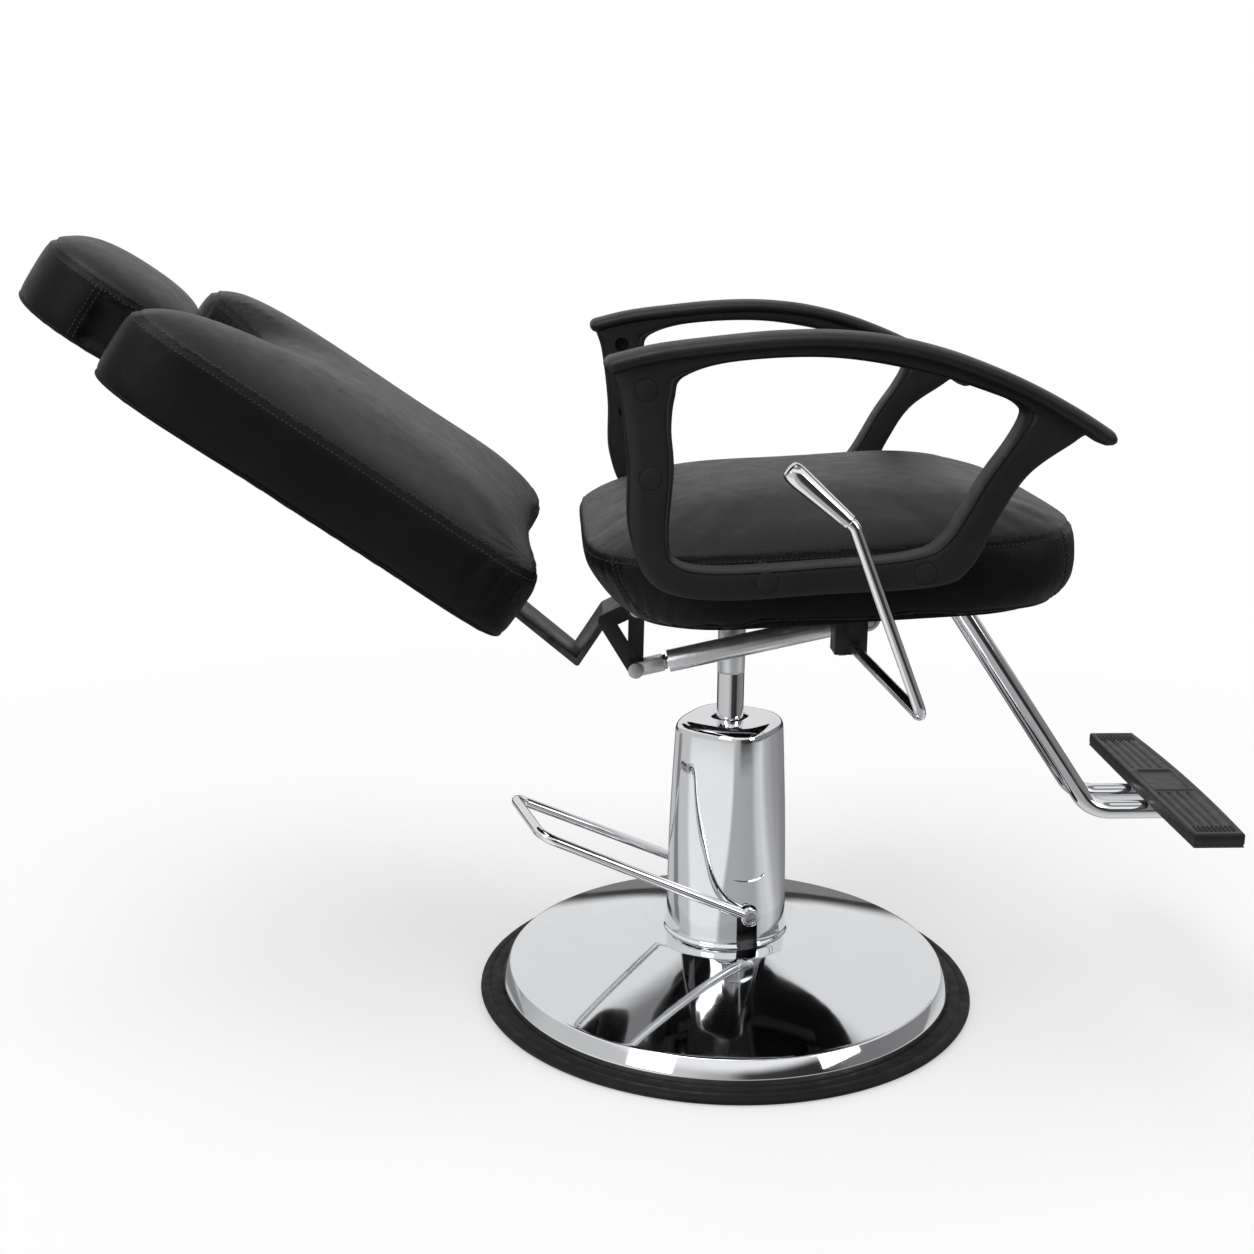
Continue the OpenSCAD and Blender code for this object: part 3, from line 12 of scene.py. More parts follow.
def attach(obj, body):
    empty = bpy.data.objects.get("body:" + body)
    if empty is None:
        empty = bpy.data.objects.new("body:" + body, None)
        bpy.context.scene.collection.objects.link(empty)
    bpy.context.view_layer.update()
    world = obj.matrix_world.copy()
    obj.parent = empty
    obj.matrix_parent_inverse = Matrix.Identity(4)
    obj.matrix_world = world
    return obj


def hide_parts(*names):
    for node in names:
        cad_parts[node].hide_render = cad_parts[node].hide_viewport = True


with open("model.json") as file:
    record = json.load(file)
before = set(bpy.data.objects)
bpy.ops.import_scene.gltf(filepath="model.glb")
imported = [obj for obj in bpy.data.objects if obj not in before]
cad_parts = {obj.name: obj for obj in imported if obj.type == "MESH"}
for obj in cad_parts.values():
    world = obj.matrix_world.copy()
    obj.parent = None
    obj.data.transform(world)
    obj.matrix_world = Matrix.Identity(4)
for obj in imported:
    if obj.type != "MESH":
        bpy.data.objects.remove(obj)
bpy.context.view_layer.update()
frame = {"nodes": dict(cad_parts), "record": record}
MM = 0.001


def placed(name, data):
    """A new object of the scene."""
    o = bpy.data.objects.new(name, data)
    bpy.context.scene.collection.objects.link(o)
    return o


# Camera, fitted to the photograph: place, angles, and focus for a picture of PHOTO_PX
CAM_AT = Vector((-0.2121, -1.8962, 0.926))
CAM_YAW, CAM_PITCH, CAM_ROLL = (math.radians(a) for a in (2.669, 13.952, 0.478))
CAM_FOCUS_PX, PHOTO_PX = 1667.7, 1254.0


def make_camera():
    """A camera at the photograph's viewpoint."""
    forward = Vector((math.sin(CAM_YAW) * math.cos(CAM_PITCH),
                      math.cos(CAM_YAW) * math.cos(CAM_PITCH), -math.sin(CAM_PITCH)))
    right = Vector((math.cos(CAM_YAW), -math.sin(CAM_YAW), 0))
    up = right.cross(forward)
    right2 = right * math.cos(CAM_ROLL) + up * math.sin(CAM_ROLL)
    up2 = up * math.cos(CAM_ROLL) - right * math.sin(CAM_ROLL)
    data = bpy.data.cameras.new("camera")
    data.sensor_width = 36
    data.lens = CAM_FOCUS_PX / PHOTO_PX * data.sensor_width
    data.clip_end = 200
    cam = placed("camera", data)
    m = Matrix((right2, up2, -forward)).transposed().to_4x4()
    m.translation = CAM_AT
    cam.matrix_world = m
    bpy.context.scene.camera = cam


# Node materials

class Nodes:
    """Adds and links the shader nodes of a new material or world."""

    def __init__(self, owner):
        owner.use_nodes = True
        self.owner, self.tree = owner, owner.node_tree
        self.tree.nodes.clear()

    def add(self, kind, inputs=None, **props):
        node = self.tree.nodes.new("ShaderNode" + kind)
        for k, v in props.items():
            setattr(node, k, v)
        for k, v in (inputs or {}).items():
            if isinstance(v, bpy.types.NodeSocket):
                self.tree.links.new(v, node.inputs[k])
            else:
                node.inputs[k].default_value = v
        return node

    def coords(self):
        return self.add("TexCoord").outputs["Object"]

    def noise(self, scale, detail=3.0, rough=0.5, vector=None):
        return self.add("TexNoise", {"Vector": vector or self.coords(), "Scale": scale,
                                     "Detail": detail, "Roughness": rough}).outputs["Fac"]

    def stretched(self, factors):
        return self.add("Mapping", {"Vector": self.coords(), "Scale": factors}).outputs["Vector"]

    def cells(self, scale, feature="F1", vector=None):
        return self.add("TexVoronoi", {"Vector": vector or self.coords(), "Scale": scale},
                        feature=feature).outputs["Distance"]

    def spread(self, value, low, high, start=0.3, end=0.7):
        return self.add("MapRange", {"Value": value, "From Min": start, "From Max": end,
                                     "To Min": low, "To Max": high}).outputs["Result"]

    def math(self, op, a, b=0.0):
        return self.add("Math", {0: a, 1: b}, operation=op).outputs["Value"]

    def blend(self, fac, a, b):
        ramp = self.add("ValToRGB", {"Fac": fac})
        ramp.color_ramp.elements[0].color = (*a, 1)
        ramp.color_ramp.elements[1].color = (*b, 1)
        return ramp.outputs["Color"]

    def bump(self, height, depth, strength=1.0, after=None):
        inputs = {"Height": height, "Distance": depth, "Strength": strength}
        if after is not None:
            inputs["Normal"] = after
        return self.add("Bump", inputs).outputs["Normal"]

    def surface(self, inputs):
        shader = self.add("BsdfPrincipled", inputs)
        out = self.add("OutputMaterial")
        self.tree.links.new(shader.outputs[0], out.inputs["Surface"])
        return self.owner


def leather(name, dark=0.0055, light=0.0085, rough=(0.36, 0.48), level=0.22):
    """Black upholstery leather: pebble grain, pores, soft mottling and worn sheen."""
    n = Nodes(bpy.data.materials.new(name))
    noise_c = n.add("TexNoise", {"Vector": n.coords(), "Scale": 260.0, "Detail": 2.0})
    warp = n.add("VectorMath", {0: noise_c.outputs["Color"], 1: (0.0012, 0.0012, 0.0012),
                                2: n.coords()}, operation="MULTIPLY_ADD").outputs["Vector"]
    pebble = n.cells(620.0, "SMOOTH_F1", warp)
    crease = n.cells(340.0, "DISTANCE_TO_EDGE", warp)
    mottle = n.noise(9.0, 4.0, 0.6)
    colour = n.blend(n.spread(mottle, 0, 1), (dark,) * 3, (light, light, light * 1.04))
    normal = n.bump(pebble, 0.00022, 0.55)
    normal = n.bump(n.spread(crease, 0, 1, 0.0, 0.12), 0.00016, 0.5, normal)
    normal = n.bump(n.noise(26.0, 3.0, 0.55), 0.0016, 0.07, normal)
    return n.surface({"Base Color": colour, "Roughness": n.spread(n.noise(50.0, 5.0, 0.65), *rough),
                      "Specular IOR Level": level, "Sheen Weight": 0.02, "Normal": normal})


def speckled(name, tint, dark, light, wear, rough, reliefs, more=None, within=(0.3, 0.7)):
    """Plain material. Noise (scale, detail, roughness) draws its colour and its gloss, over layers
    of relief (scale, detail, roughness, depth, strength)."""
    n = Nodes(bpy.data.materials.new(name))
    normal = None
    for scale, detail, coarse, depth, strength in reliefs:
        normal = n.bump(n.noise(scale, detail, coarse), depth, strength, normal)
    return n.surface({"Base Color": n.blend(n.spread(n.noise(*tint), 0, 1, *within), dark, light),
                      "Roughness": n.spread(n.noise(*wear), *rough), "Normal": normal, **(more or {})})


def moulded_plastic(name, base=0.0085, rough=(0.42, 0.56), grain=0.00010):
    """Black moulded plastic with a fine spark-eroded texture and rubbed spots."""
    return speckled(name, (14.0, 5.0, 0.6), (base * 0.8,) * 3, (base * 1.5, base * 1.5, base * 1.55),
                    (45.0, 4.0, 0.7), rough,
                    [(1500.0, 2.0, 0.5, grain, 0.7), (60.0, 2.0, 0.5, 0.0004, 0.18)],
                    {"Specular IOR Level": 0.30})


def rubber(name, base=0.007, rough=(0.5, 0.68), level=0.22):
    """Black rubber with a dusty bloom."""
    return speckled(name, (22.0, 6.0, 0.7), (base * 0.7,) * 3, (base * 2.0, base * 2.0, base * 2.1),
                    (70.0, 3.0, 0.5), rough, [(900.0, 3.0, 0.6, 0.00016, 0.7)],
                    {"Specular IOR Level": level}, (0.35, 0.8))


def plated(name, base=(0.80, 0.81, 0.83), rough=(0.030, 0.075), ripple=0.00012):
    """Polished chrome plating: clear mirror, faint wiping marks and orange peel."""
    n = Nodes(bpy.data.materials.new(name))
    wipe = n.noise(18.0, 6.0, 0.7, n.stretched((1, 1, 0.25)))
    colour = n.blend(n.spread(wipe, 0, 1), tuple(c * 0.96 for c in base), base)
    normal = n.bump(n.noise(34.0, 2.0, 0.4), ripple, 0.35)
    return n.surface({"Base Color": colour, "Metallic": 1.0,
                      "Roughness": n.spread(wipe, *rough), "Normal": normal})


def satin_metal(name, base, rough=(0.24, 0.40), metallic=1.0, relief=0.5):
    """Zinc or drawn steel: brushed lines, light stains and a satin gloss."""
    n = Nodes(bpy.data.materials.new(name))
    stain = n.noise(30.0, 5.0, 0.65)
    colour = n.blend(n.spread(stain, 0, 1), tuple(c * 0.82 for c in base), base)
    normal = n.bump(n.noise(900.0, 3.0, 0.6), 0.00008, relief)
    return n.surface({"Base Color": colour, "Metallic": metallic,
                      "Roughness": n.spread(stain, *rough), "Normal": normal})


def painted_steel(name, base=0.008, rough=(0.28, 0.42)):
    """Black powder coat: orange peel, and a thin grey rub on the edges."""
    n = Nodes(bpy.data.materials.new(name))
    edge = n.add("NewGeometry").outputs["Pointiness"]
    rub = n.math("MULTIPLY", n.spread(edge, 0, 1, 0.52, 0.62), n.spread(n.noise(50.0, 5.0), 0, 1))
    colour = n.blend(rub, (base,) * 3, (0.07, 0.07, 0.072))
    normal = n.bump(n.noise(420.0, 2.0, 0.5), 0.00016, 0.5)
    return n.surface({"Base Color": colour, "Roughness": n.spread(n.noise(26.0, 4.0), *rough),
                      "Specular IOR Level": 0.28, "Normal": normal})


def plywood(name):
    """Black stained plywood with its grain, and its glue lines in relief."""
    n = Nodes(bpy.data.materials.new(name))
    grain = n.noise(60.0, 6.0, 0.65, n.stretched((0.12, 1, 1)))
    wave = n.add("TexWave", {"Vector": n.coords(), "Scale": 180.0, "Distortion": 0.6},
                 bands_direction="Z").outputs["Fac"]
    colour = n.blend(n.spread(n.math("MULTIPLY_ADD", grain, 0.9), 0, 1, 0.2, 0.8),
                     (0.006, 0.005, 0.0045), (0.017, 0.015, 0.013))
    normal = n.bump(grain, 0.0004, 0.5, n.bump(wave, 0.0002, 0.3))
    return n.surface({"Base Color": colour, "Roughness": n.spread(grain, 0.55, 0.75),
                      "Specular IOR Level": 0.15, "Normal": normal})


def other_materials():
    """Cast iron of the pump, the fleece behind the boards and white nylon, by slot."""
    return {
        "pump_iron": speckled("pump_iron", (60.0, 5.0), (0.06, 0.062, 0.066), (0.13, 0.135, 0.14),
                              (90.0,), (0.5, 0.7), [(350.0, 4.0, 0.7, 0.0005, 0.7)],
                              {"Metallic": 0.3}),
        "board_black": speckled("black_cloth", (700.0, 3.0), (0.003,) * 3, (0.009, 0.009, 0.0095),
                                (60.0,), (0.75, 0.95), [(14.0, 3.0, 0.5, 0.002, 0.3),
                                                        (1100.0, 2.0, 0.5, 0.0003, 0.8)],
                                {"Specular IOR Level": 0.10}),
        "nylon_white": speckled("nylon_white", (40.0,), (0.62, 0.60, 0.56), (0.78, 0.77, 0.73),
                                (80.0,), (0.35, 0.5), [(500.0, 3.0, 0.5, 0.0001, 0.5)],
                                {"Subsurface Weight": 0.15})}


# Mesh building

def to_object(name, verts, faces, mat, body, slot, smooth_angle=38.0):
    """A mesh piece that rides on a body and takes one material."""
    o = link_mesh(name, verts, faces)
    o.data.materials.append(mat)
    smooth(o, smooth_angle)
    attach(o, body)
    return o


def link_mesh(name, verts, faces):
    me = bpy.data.meshes.new(name)
    me.from_pydata([tuple(map(float, v)) for v in verts], [], [tuple(map(int, f)) for f in faces])
    me.validate()
    fix_normals(me)
    me.update()
    return placed(name, me)


def smooth(o, angle=38.0):
    me = o.data
    me.polygons.foreach_set("use_smooth", np.ones(len(me.polygons), bool))
    me.set_sharp_from_angle(angle=math.radians(angle))


def loft(rings, closed_path=False, first=None, last=None):
    """Vertices and faces of a skin over rings of equal length."""
    rings = [np.asarray(r, float) for r in rings]
    n, m = len(rings[0]), len(rings)
    verts = [tuple(v) for r in rings for v in r]
    faces = []
    for k in range(m if closed_path else m - 1):
        a, b = k * n, ((k + 1) % m) * n
        for i in range(n):
            j = (i + 1) % n
            faces.append((a + i, a + j, b + j, b + i))
    if first is not None:
        verts.append(tuple(first))
        c = len(verts) - 1
        faces += [(c, (i + 1) % n, i) for i in range(n)]
    if last is not None:
        verts.append(tuple(last))
        c, a = len(verts) - 1, (m - 1) * n
        faces += [(c, a + i, a + (i + 1) % n) for i in range(n)]
    return verts, faces


def capped(rings):
    """A skin over rings that is closed at the middle of its first and last ring."""
    return loft(rings, first=np.mean(rings[0], 0), last=np.mean(rings[-1], 0))


def joined(shapes):
    """Several meshes as the vertices and faces of one."""
    verts, faces = [], []
    for v, f in shapes:
        faces += [tuple(i + len(verts) for i in q) for q in f]
        verts += [tuple(x) for x in v]
    return verts, faces


def unit(v):
    """A vector, or each row of vectors, at length one."""
    v = np.asarray(v, float)
    return v / np.linalg.norm(v, axis=-1, keepdims=True)


def circle(u, w, sides):
    """Unit circle of points spanned by two directions."""
    ang = np.arange(sides) * 2 * math.pi / sides
    return np.cos(ang)[:, None] * u + np.sin(ang)[:, None] * w


def catmull(points, steps, closed=True):
    """Smooth curve through points, with a number of steps between each two."""
    p = np.asarray(points, float)
    n, out = len(p), []
    for i in range(n if closed else n - 1):
        if closed:
            a, b, c, d = p[i - 1], p[i], p[(i + 1) % n], p[(i + 2) % n]
        else:
            a, b, c, d = p[max(i - 1, 0)], p[i], p[i + 1], p[min(i + 2, n - 1)]
        for k in range(steps):
            t = k / steps
            out.append((2 * b + (c - a) * t + (2 * a - 5 * b + 4 * c - d) * t ** 2
                        + (3 * b - a - 3 * c + d) * t ** 3) / 2)
    if not closed:
        out.append(p[-1])
    return np.array(out)


def monotone(xs, ys, x):
    """Monotone cubic through table points."""
    xs, ys = np.asarray(xs, float), np.asarray(ys, float)
    h, d = np.diff(xs), np.diff(ys) / np.diff(xs)
    m = np.zeros(len(xs))
    m[0], m[-1] = d[0], d[-1]
    for i in range(1, len(xs) - 1):
        if d[i - 1] * d[i] > 0:
            w1, w2 = 2 * h[i] + h[i - 1], h[i] + 2 * h[i - 1]
            m[i] = (w1 + w2) / (w1 / d[i - 1] + w2 / d[i])
    x = np.clip(np.asarray(x, float), xs[0], xs[-1])
    k = np.clip(np.searchsorted(xs, x, side="right") - 1, 0, len(xs) - 2)
    t = (x - xs[k]) / h[k]
    return ((2 * t ** 3 - 3 * t ** 2 + 1) * ys[k] + (t ** 3 - 2 * t ** 2 + t) * h[k] * m[k]
            + (3 * t ** 2 - 2 * t ** 3) * ys[k + 1] + (t ** 3 - t ** 2) * h[k] * m[k + 1])


def run_of(p):
    """Length of a line up to each of its points."""
    return np.concatenate([[0], np.cumsum(np.linalg.norm(np.diff(p, axis=0), axis=1))])


def resample(points, step, closed=True):
    """Points at an even spacing along a line."""
    p = np.asarray(points, float)
    if closed:
        p = np.vstack([p, p[:1]])
    s = run_of(p)
    n = max(8, int(round(s[-1] / step)))
    at = np.linspace(0, s[-1], n + (0 if closed else 1), endpoint=not closed)
    return np.stack([np.interp(at, s, p[:, i]) for i in range(p.shape[1])], 1)


def inset(outline, d):
    """Closed plane outline moved in, square to itself."""
    p = np.asarray(outline, float)
    t = unit(np.roll(p, -1, 0) - np.roll(p, 1, 0))
    return p + np.stack([-t[:, 1], t[:, 0]], 1) * np.reshape(d, (-1, 1))


def bent_line(corners, radius, steps=14):
    """Corner points with a round bend at each inner corner."""
    p = [Vector(c) for c in corners]
    out = [p[0]]
    for i in range(1, len(p) - 1):
        u, v = (p[i] - p[i - 1]).normalized(), (p[i + 1] - p[i]).normalized()
        turn = u.angle(v)
        side = u.cross(v).normalized().cross(u)
        c = p[i] - u * (radius * math.tan(turn / 2)) + side * radius
        out += [c - side * radius * math.cos(turn * k / steps)
                + u * radius * math.sin(turn * k / steps) for k in range(steps + 1)]
    return np.array(out + [p[-1]])


def sweep(points, radius, sides=32, across=(0, 1, 0), ends=True):
    """Round rod along an open line, with its ends rounded off unless they are hidden."""
    p = np.asarray(points, float)
    t = unit(np.gradient(p, axis=0))
    a = unit(np.cross(t, np.asarray(across, float)))
    b = np.cross(t, a)
    rings = [p[i] + radius * circle(a[i], b[i], sides) for i in range(len(p))]
    if not ends:
        return loft(rings)
    edge = radius * 0.22
    caps = [(p[i] + way * t[i] * edge + (rings[i] - p[i]) * 0.78, p[i] + way * t[i] * edge)
            for i, way in ((0, -1), (-1, 1))]
    return loft([caps[0][0]] + rings + [caps[1][0]], first=caps[0][1], last=caps[1][1])


def turned(profile, steps=256, section=None):
    """Rings of a profile of (radius, height) points, in mm, turned about Z. section(angles, z)
    bends the circle."""
    ang = np.arange(steps) * 2 * math.pi / steps
    rings = []
    for r, z in profile:
        k = r * (np.ones(steps) if section is None else section(ang, z))
        rings.append(np.stack([k * np.cos(ang), k * np.sin(ang), np.full(steps, z)], 1) * MM)
    return rings


def rounded(points, radius, steps=5):
    """Open line of 2-D points with small rounds at its inner corners."""
    p = [np.asarray(q, float) for q in points]
    out = [p[0]]
    for i in range(1, len(p) - 1):
        a, b, c = p[i - 1], p[i], p[i + 1]
        la, lc = np.linalg.norm(a - b), np.linalg.norm(c - b)
        k = min(radius, la * 0.45, lc * 0.45)
        s, e = b + (a - b) / la * k, b + (c - b) / lc * k
        out += [(1 - t) ** 2 * s + 2 * t * (1 - t) * b + t * t * e
                for t in np.linspace(0, 1, steps)]
    return out + [p[-1]]


def cylinder_mesh(at, axis, radius, length, sides=48, bevel=0.0):
    """Solid bar with bevelled ends, for cutters and caps."""
    a, v = np.asarray(at, float), unit(axis)
    u = unit(np.cross(v, (0.3, 0.5, 0.81)))
    ring = circle(u, np.cross(v, u), sides)
    rings = [a + v * bevel + ring * radius, a + v * (length - bevel) + ring * radius]
    if bevel:
        rings = [a + ring * (radius - bevel)] + rings + [a + v * length + ring * (radius - bevel)]
    return loft(rings, first=a, last=a + v * length)


def cut(o, shapes):
    """Subtracts closed meshes from a piece."""
    knife = link_mesh("cutter", *joined(shapes))
    fix_normals(o.data)
    m = o.modifiers.new("cut", "BOOLEAN")
    m.object, m.operation, m.solver = knife, "DIFFERENCE", "EXACT"
    apply_modifiers(o)
    bpy.data.objects.remove(knife)


def fix_normals(me):
    bm = bmesh.new()
    bm.from_mesh(me)
    bmesh.ops.recalc_face_normals(bm, faces=bm.faces)
    bm.to_mesh(me)
    bm.free()


def apply_modifiers(o):
    dg = bpy.context.evaluated_depsgraph_get()
    dg.update()
    baked = bpy.data.meshes.new_from_object(o.evaluated_get(dg), depsgraph=dg)
    o.modifiers.clear()
    o.data = baked


def coords_of(o, kind="co"):
    """Places, or normals, of a piece's vertices."""
    out = np.zeros(len(o.data.vertices) * 3, np.float32)
    o.data.vertices.foreach_get(kind, out)
    return out.reshape(-1, 3).astype(float)


def normals_of(o):
    return coords_of(o, "normal")


def set_coords(o, co):
    o.data.vertices.foreach_set("co", np.asarray(co, np.float32).ravel())
    o.data.update()


# Soft goods

# Sizes in mm. The seat's frame is tilted about Y. The back's frame lies in its face: across it,
# along it from the hinge, and out of it.
SEAT_TILT, BACK_A = math.radians(3.4), math.radians(34)
SEAT_X0, SEAT_X1, SEAT_HALF, SEAT_SQUARE = -180.0, 356.0, 259.0, 5
SEAT_BAND, SEAT_CROWN, SEAT_POCKET = 78.0, 42.0, 74.0
BOX_REAR, BOX_FRONT, BOX_SIDE = 60, 34, 13
SEAT_MID = np.array(((SEAT_X0 + SEAT_X1) / 2, 0.0))
BACK_FOOT, BACK_L, BACK_HALF, BACK_BAND, BACK_CROWN = 127.0, 487.0, 254.0, 80.0, 33.0
BACK_SEAM_IN, BACK_BOARD_IN = 6.0, 30.0
NOTCH_D, NOTCH_W = 94.0, 118.0
NOTCH_U = BACK_FOOT + BACK_L - NOTCH_D
HEAD_FOOT, HEAD_L, HEAD_HALF, HEAD_SQUARE = 575.0, 178.0, 110.0, 2.5
HEAD_BAND, HEAD_CROWN, HEAD_SEAM, HEAD_SEAM_IN, HEAD_BOARD_IN = 72.0, 20.0, -16.0, 4.8, 24.0
HEAD_REAR = HEAD_SEAM - HEAD_BAND
SEAM_STEP = 0.002

# Shares: of a crown's height over its inset, of a band's inset over its height, of the back's
# half outline and of its notch
CROWN = ([0, 0.055, 0.13, 0.28, 0.48, 0.74, 1], [0, 0.3, 0.53, 0.76, 0.92, 0.99, 1])
BAND_S, BAND_IN = [0, 0.08, 0.5, 0.9, 1], [0.16, 0.03, 0, 0.04, 0.2]
BACK_SIDE = [(0, 0.03), (0.45, 0.02), (0.83, 0), (0.965, 0.03), (1, 0.12), (0.985, 0.45),
             (1, 0.74), (0.99, 0.9), (0.9, 0.985), (0.74, 1)]
NOTCH = [(1.2, 0.16), (0.96, 0.52), (0.6, 0.88), (0, 1)]


class Frame:
    """A frame of its own in the scene, in mm: its origin and its three axes."""

    def __init__(self, origin, *axes):
        self.origin, self.axes = np.array(origin), np.array(axes)

    def at(self, points):
        """Points of this frame placed in the scene, in metres."""
        return (self.origin + np.reshape(points, (-1, 3)) @ self.axes) * MM

    def on(self, plan, z):
        """Plan points at a height of this frame, placed in the scene."""
        return self.at(np.column_stack([plan, np.broadcast_to(z, len(plan))]))

    def local(self, co):
        return (co / MM - self.origin) @ self.axes.T


SEAT = Frame((0, 0, 512.5), (math.cos(SEAT_TILT), 0, math.sin(SEAT_TILT)), (0, 1, 0),
             (-math.sin(SEAT_TILT), 0, math.cos(SEAT_TILT)))
BACK = Frame((-115.0, 0.0, 490.0), (0, 1, 0), (-math.cos(BACK_A), 0, math.sin(BACK_A)),
             (math.sin(BACK_A), 0, math.cos(BACK_A)))


def oval(x0, x1, half, power, ang):
    c, s = np.cos(ang), np.sin(ang)
    return np.stack([(x0 + x1) / 2 + (x1 - x0) / 2 * np.sign(c) * np.abs(c) ** (2 / power),
                     half * np.sign(s) * np.abs(s) ** (2 / power)], 1)


def even_angles(x0, x1, half, power, count):
    """Angles that space an oval's points evenly."""
    a = np.linspace(0, 2 * math.pi, 7201)
    s = run_of(oval(x0, x1, half, power, a))
    return np.interp(np.arange(count) / count * s[-1], s, a)


SEAT_ANG = even_angles(SEAT_X0, SEAT_X1, SEAT_HALF, SEAT_SQUARE, 240)
HEAD_ANG = even_angles(HEAD_FOOT, HEAD_FOOT + HEAD_L, HEAD_HALF, HEAD_SQUARE, 120)


def seat_ring(share):
    """Outline of the seat's side at a share of its band's height."""
    s = [0, 0.18, 0.51, 0.8, 1]
    rear = monotone(s, [0.92, 0.61, 0.27, 0.08, 0.06], share) * 62
    front = monotone(s, [0.86, 0.22, 0, 0, 0.08], share) * 36
    side = monotone(s, [0.53, 0.18, 0, 0.06, 0.29], share) * 17
    return oval(SEAT_X0 + rear, SEAT_X1 - front, SEAT_HALF - side, SEAT_SQUARE, SEAT_ANG)


def back_outline():
    half = [(x * BACK_HALF, BACK_FOOT + y * BACK_L) for x, y in BACK_SIDE]
    half += [(x * NOTCH_W, BACK_FOOT + BACK_L - y * NOTCH_D) for x, y in NOTCH]
    return catmull(half + [(-x, y) for x, y in half[-2:0:-1]], 2)


def back_ring(d):
    return catmull(inset(back_outline(), d), 6)


def head_ring(d):
    p = oval(HEAD_FOOT, HEAD_FOOT + HEAD_L, HEAD_HALF, HEAD_SQUARE, HEAD_ANG)
    return inset(np.stack([-p[:, 1], p[:, 0]], 1), d)


def cushion_skin(place, pocket, floor, pocket_at, band, top, centre, crown):
    """Starting skin of a cushion: its board's pocket, its band and its crown. place puts plan
    points at a height; band lists outlines with their heights."""
    rings = [place(pocket, pocket_at), place(pocket, floor)] + [place(p, z) for p, z in band]
    outline, seam = top
    insets = np.linspace(0, 1, 27)[1:-1] ** 1.5
    rings += [place(outline + k * (centre - outline), seam + crown * monotone(*CROWN, k))
              for k in insets]
    middle = np.array([centre])
    return loft(rings, first=place(middle, pocket_at)[0], last=place(middle, seam + crown)[0])


def panel_skin(ring, band, board_in, pocket_n, centre, seam, crown):
    """Starting skin of a cushion that lies along the back."""
    side = [(ring(monotone(BAND_S, BAND_IN, s) * board_in), seam - band + s * band)
            for s in np.linspace(0, 1, 20) ** 0.9]
    return cushion_skin(BACK.on, ring(board_in), seam - band, pocket_n, side,
                        (ring(BAND_IN[-1] * board_in), seam), np.array(centre), crown)


def slab(corner, size):
    """Box cutter in the back's frame, from its low corner: out, across, along."""
    (out, across, along), (d, w, l) = corner, size
    plan = np.array([(across, along), (across + w, along), (across + w, along + l),
                     (across, along + l)])
    return capped([BACK.on(plan, out), BACK.on(plan, out + d)])


def near_lines(points, lines, reach):
    """Distance of each point to the nearest point of some lines, capped at reach."""
    pts = np.vstack(lines)
    tree = KDTree(len(pts))
    for i, p in enumerate(pts):
        tree.insert(Vector(p), i)
    tree.balance()
    return np.array([min(tree.find(Vector(p))[2], reach) for p in points])


def swell(o, voxel, held, cap, pressure=4.0, frames=16):
    """Remesh, puff up with cloth pressure between the held points, cap and subdivide."""
    m = o.modifiers.new("remesh", "REMESH")
    m.mode, m.voxel_size, m.use_smooth_shade = "VOXEL", voxel, True
    apply_modifiers(o)
    relax(o, 4)
    start = coords_of(o)
    pins = held(start)
    move = (puffed(o, pins, pressure, frames) - start) * (1 - np.clip(pins, 0, 1))[:, None]
    size = np.linalg.norm(move, axis=1)
    move *= (cap * np.tanh(size / cap) / np.maximum(size, 1e-9))[:, None]
    set_coords(o, start + move)
    relax(o, 5)
    m = o.modifiers.new("fine", "SUBSURF")
    m.levels = m.render_levels = 1
    apply_modifiers(o)


def puffed(o, pins, pressure, frames):
    """Places of a piece's vertices after a short cloth simulation."""
    group = o.vertex_groups.new(name="held")
    for weight, mask in ((1.0, pins >= 1.0), (0.5, (pins > 0.1) & (pins < 1.0))):
        group.add([int(i) for i in np.nonzero(mask)[0]], weight, "REPLACE")
    c = o.modifiers.new("puff", "CLOTH")
    s = c.settings
    s.quality, s.mass = 3, 0.4
    s.tension_stiffness = s.compression_stiffness = 12
    s.shear_stiffness, s.bending_stiffness = 4, 0.4
    s.use_pressure, s.uniform_pressure_force = True, pressure
    s.effector_weights.gravity = 0
    s.vertex_group_mass = "held"
    c.collision_settings.use_collision = False
    c.point_cache.frame_start, c.point_cache.frame_end = 1, frames
    scene = bpy.context.scene
    for f in range(1, frames + 1):
        scene.frame_set(f)
    moved = coords_of(o.evaluated_get(bpy.context.evaluated_depsgraph_get()))
    o.modifiers.remove(c)
    scene.frame_set(1)
    return moved


def relax(o, rounds):
    m = o.modifiers.new("even", "SMOOTH")
    m.factor, m.iterations = 0.5, rounds
    apply_modifiers(o)


def groove(o, lines, depth, width, closed=True):
    """Sewn channel pressed into a cushion along lines."""
    co, no = coords_of(o), normals_of(o)
    d = near_lines(co, [resample(line, SEAM_STEP, closed) for line in lines], width * 4)
    set_coords(o, co - no * (depth * np.exp(-(d / width) ** 2))[:, None])


def surface_tree(o):
    return BVHTree.FromPolygons([v.co.copy() for v in o.data.vertices],
                                [tuple(p.vertices) for p in o.data.polygons])


def laid_on(tree, line, lift):
    """A line moved onto the nearest surface, lifted a little."""
    pts, nos = [], []
    for p in line:
        at, no = tree.find_nearest(Vector(p))[:2]
        if no.dot(Vector(p) - at) < 0 and (Vector(p) - at).length > 0.02:
            no = -no
        pts.append(np.array(at) + np.array(no) * lift)
        nos.append(np.array(no))
    return np.array(pts), np.array(nos)


STITCH_PITCH, STITCH_L, STITCH_R = 0.0052, 0.0034, 0.00042
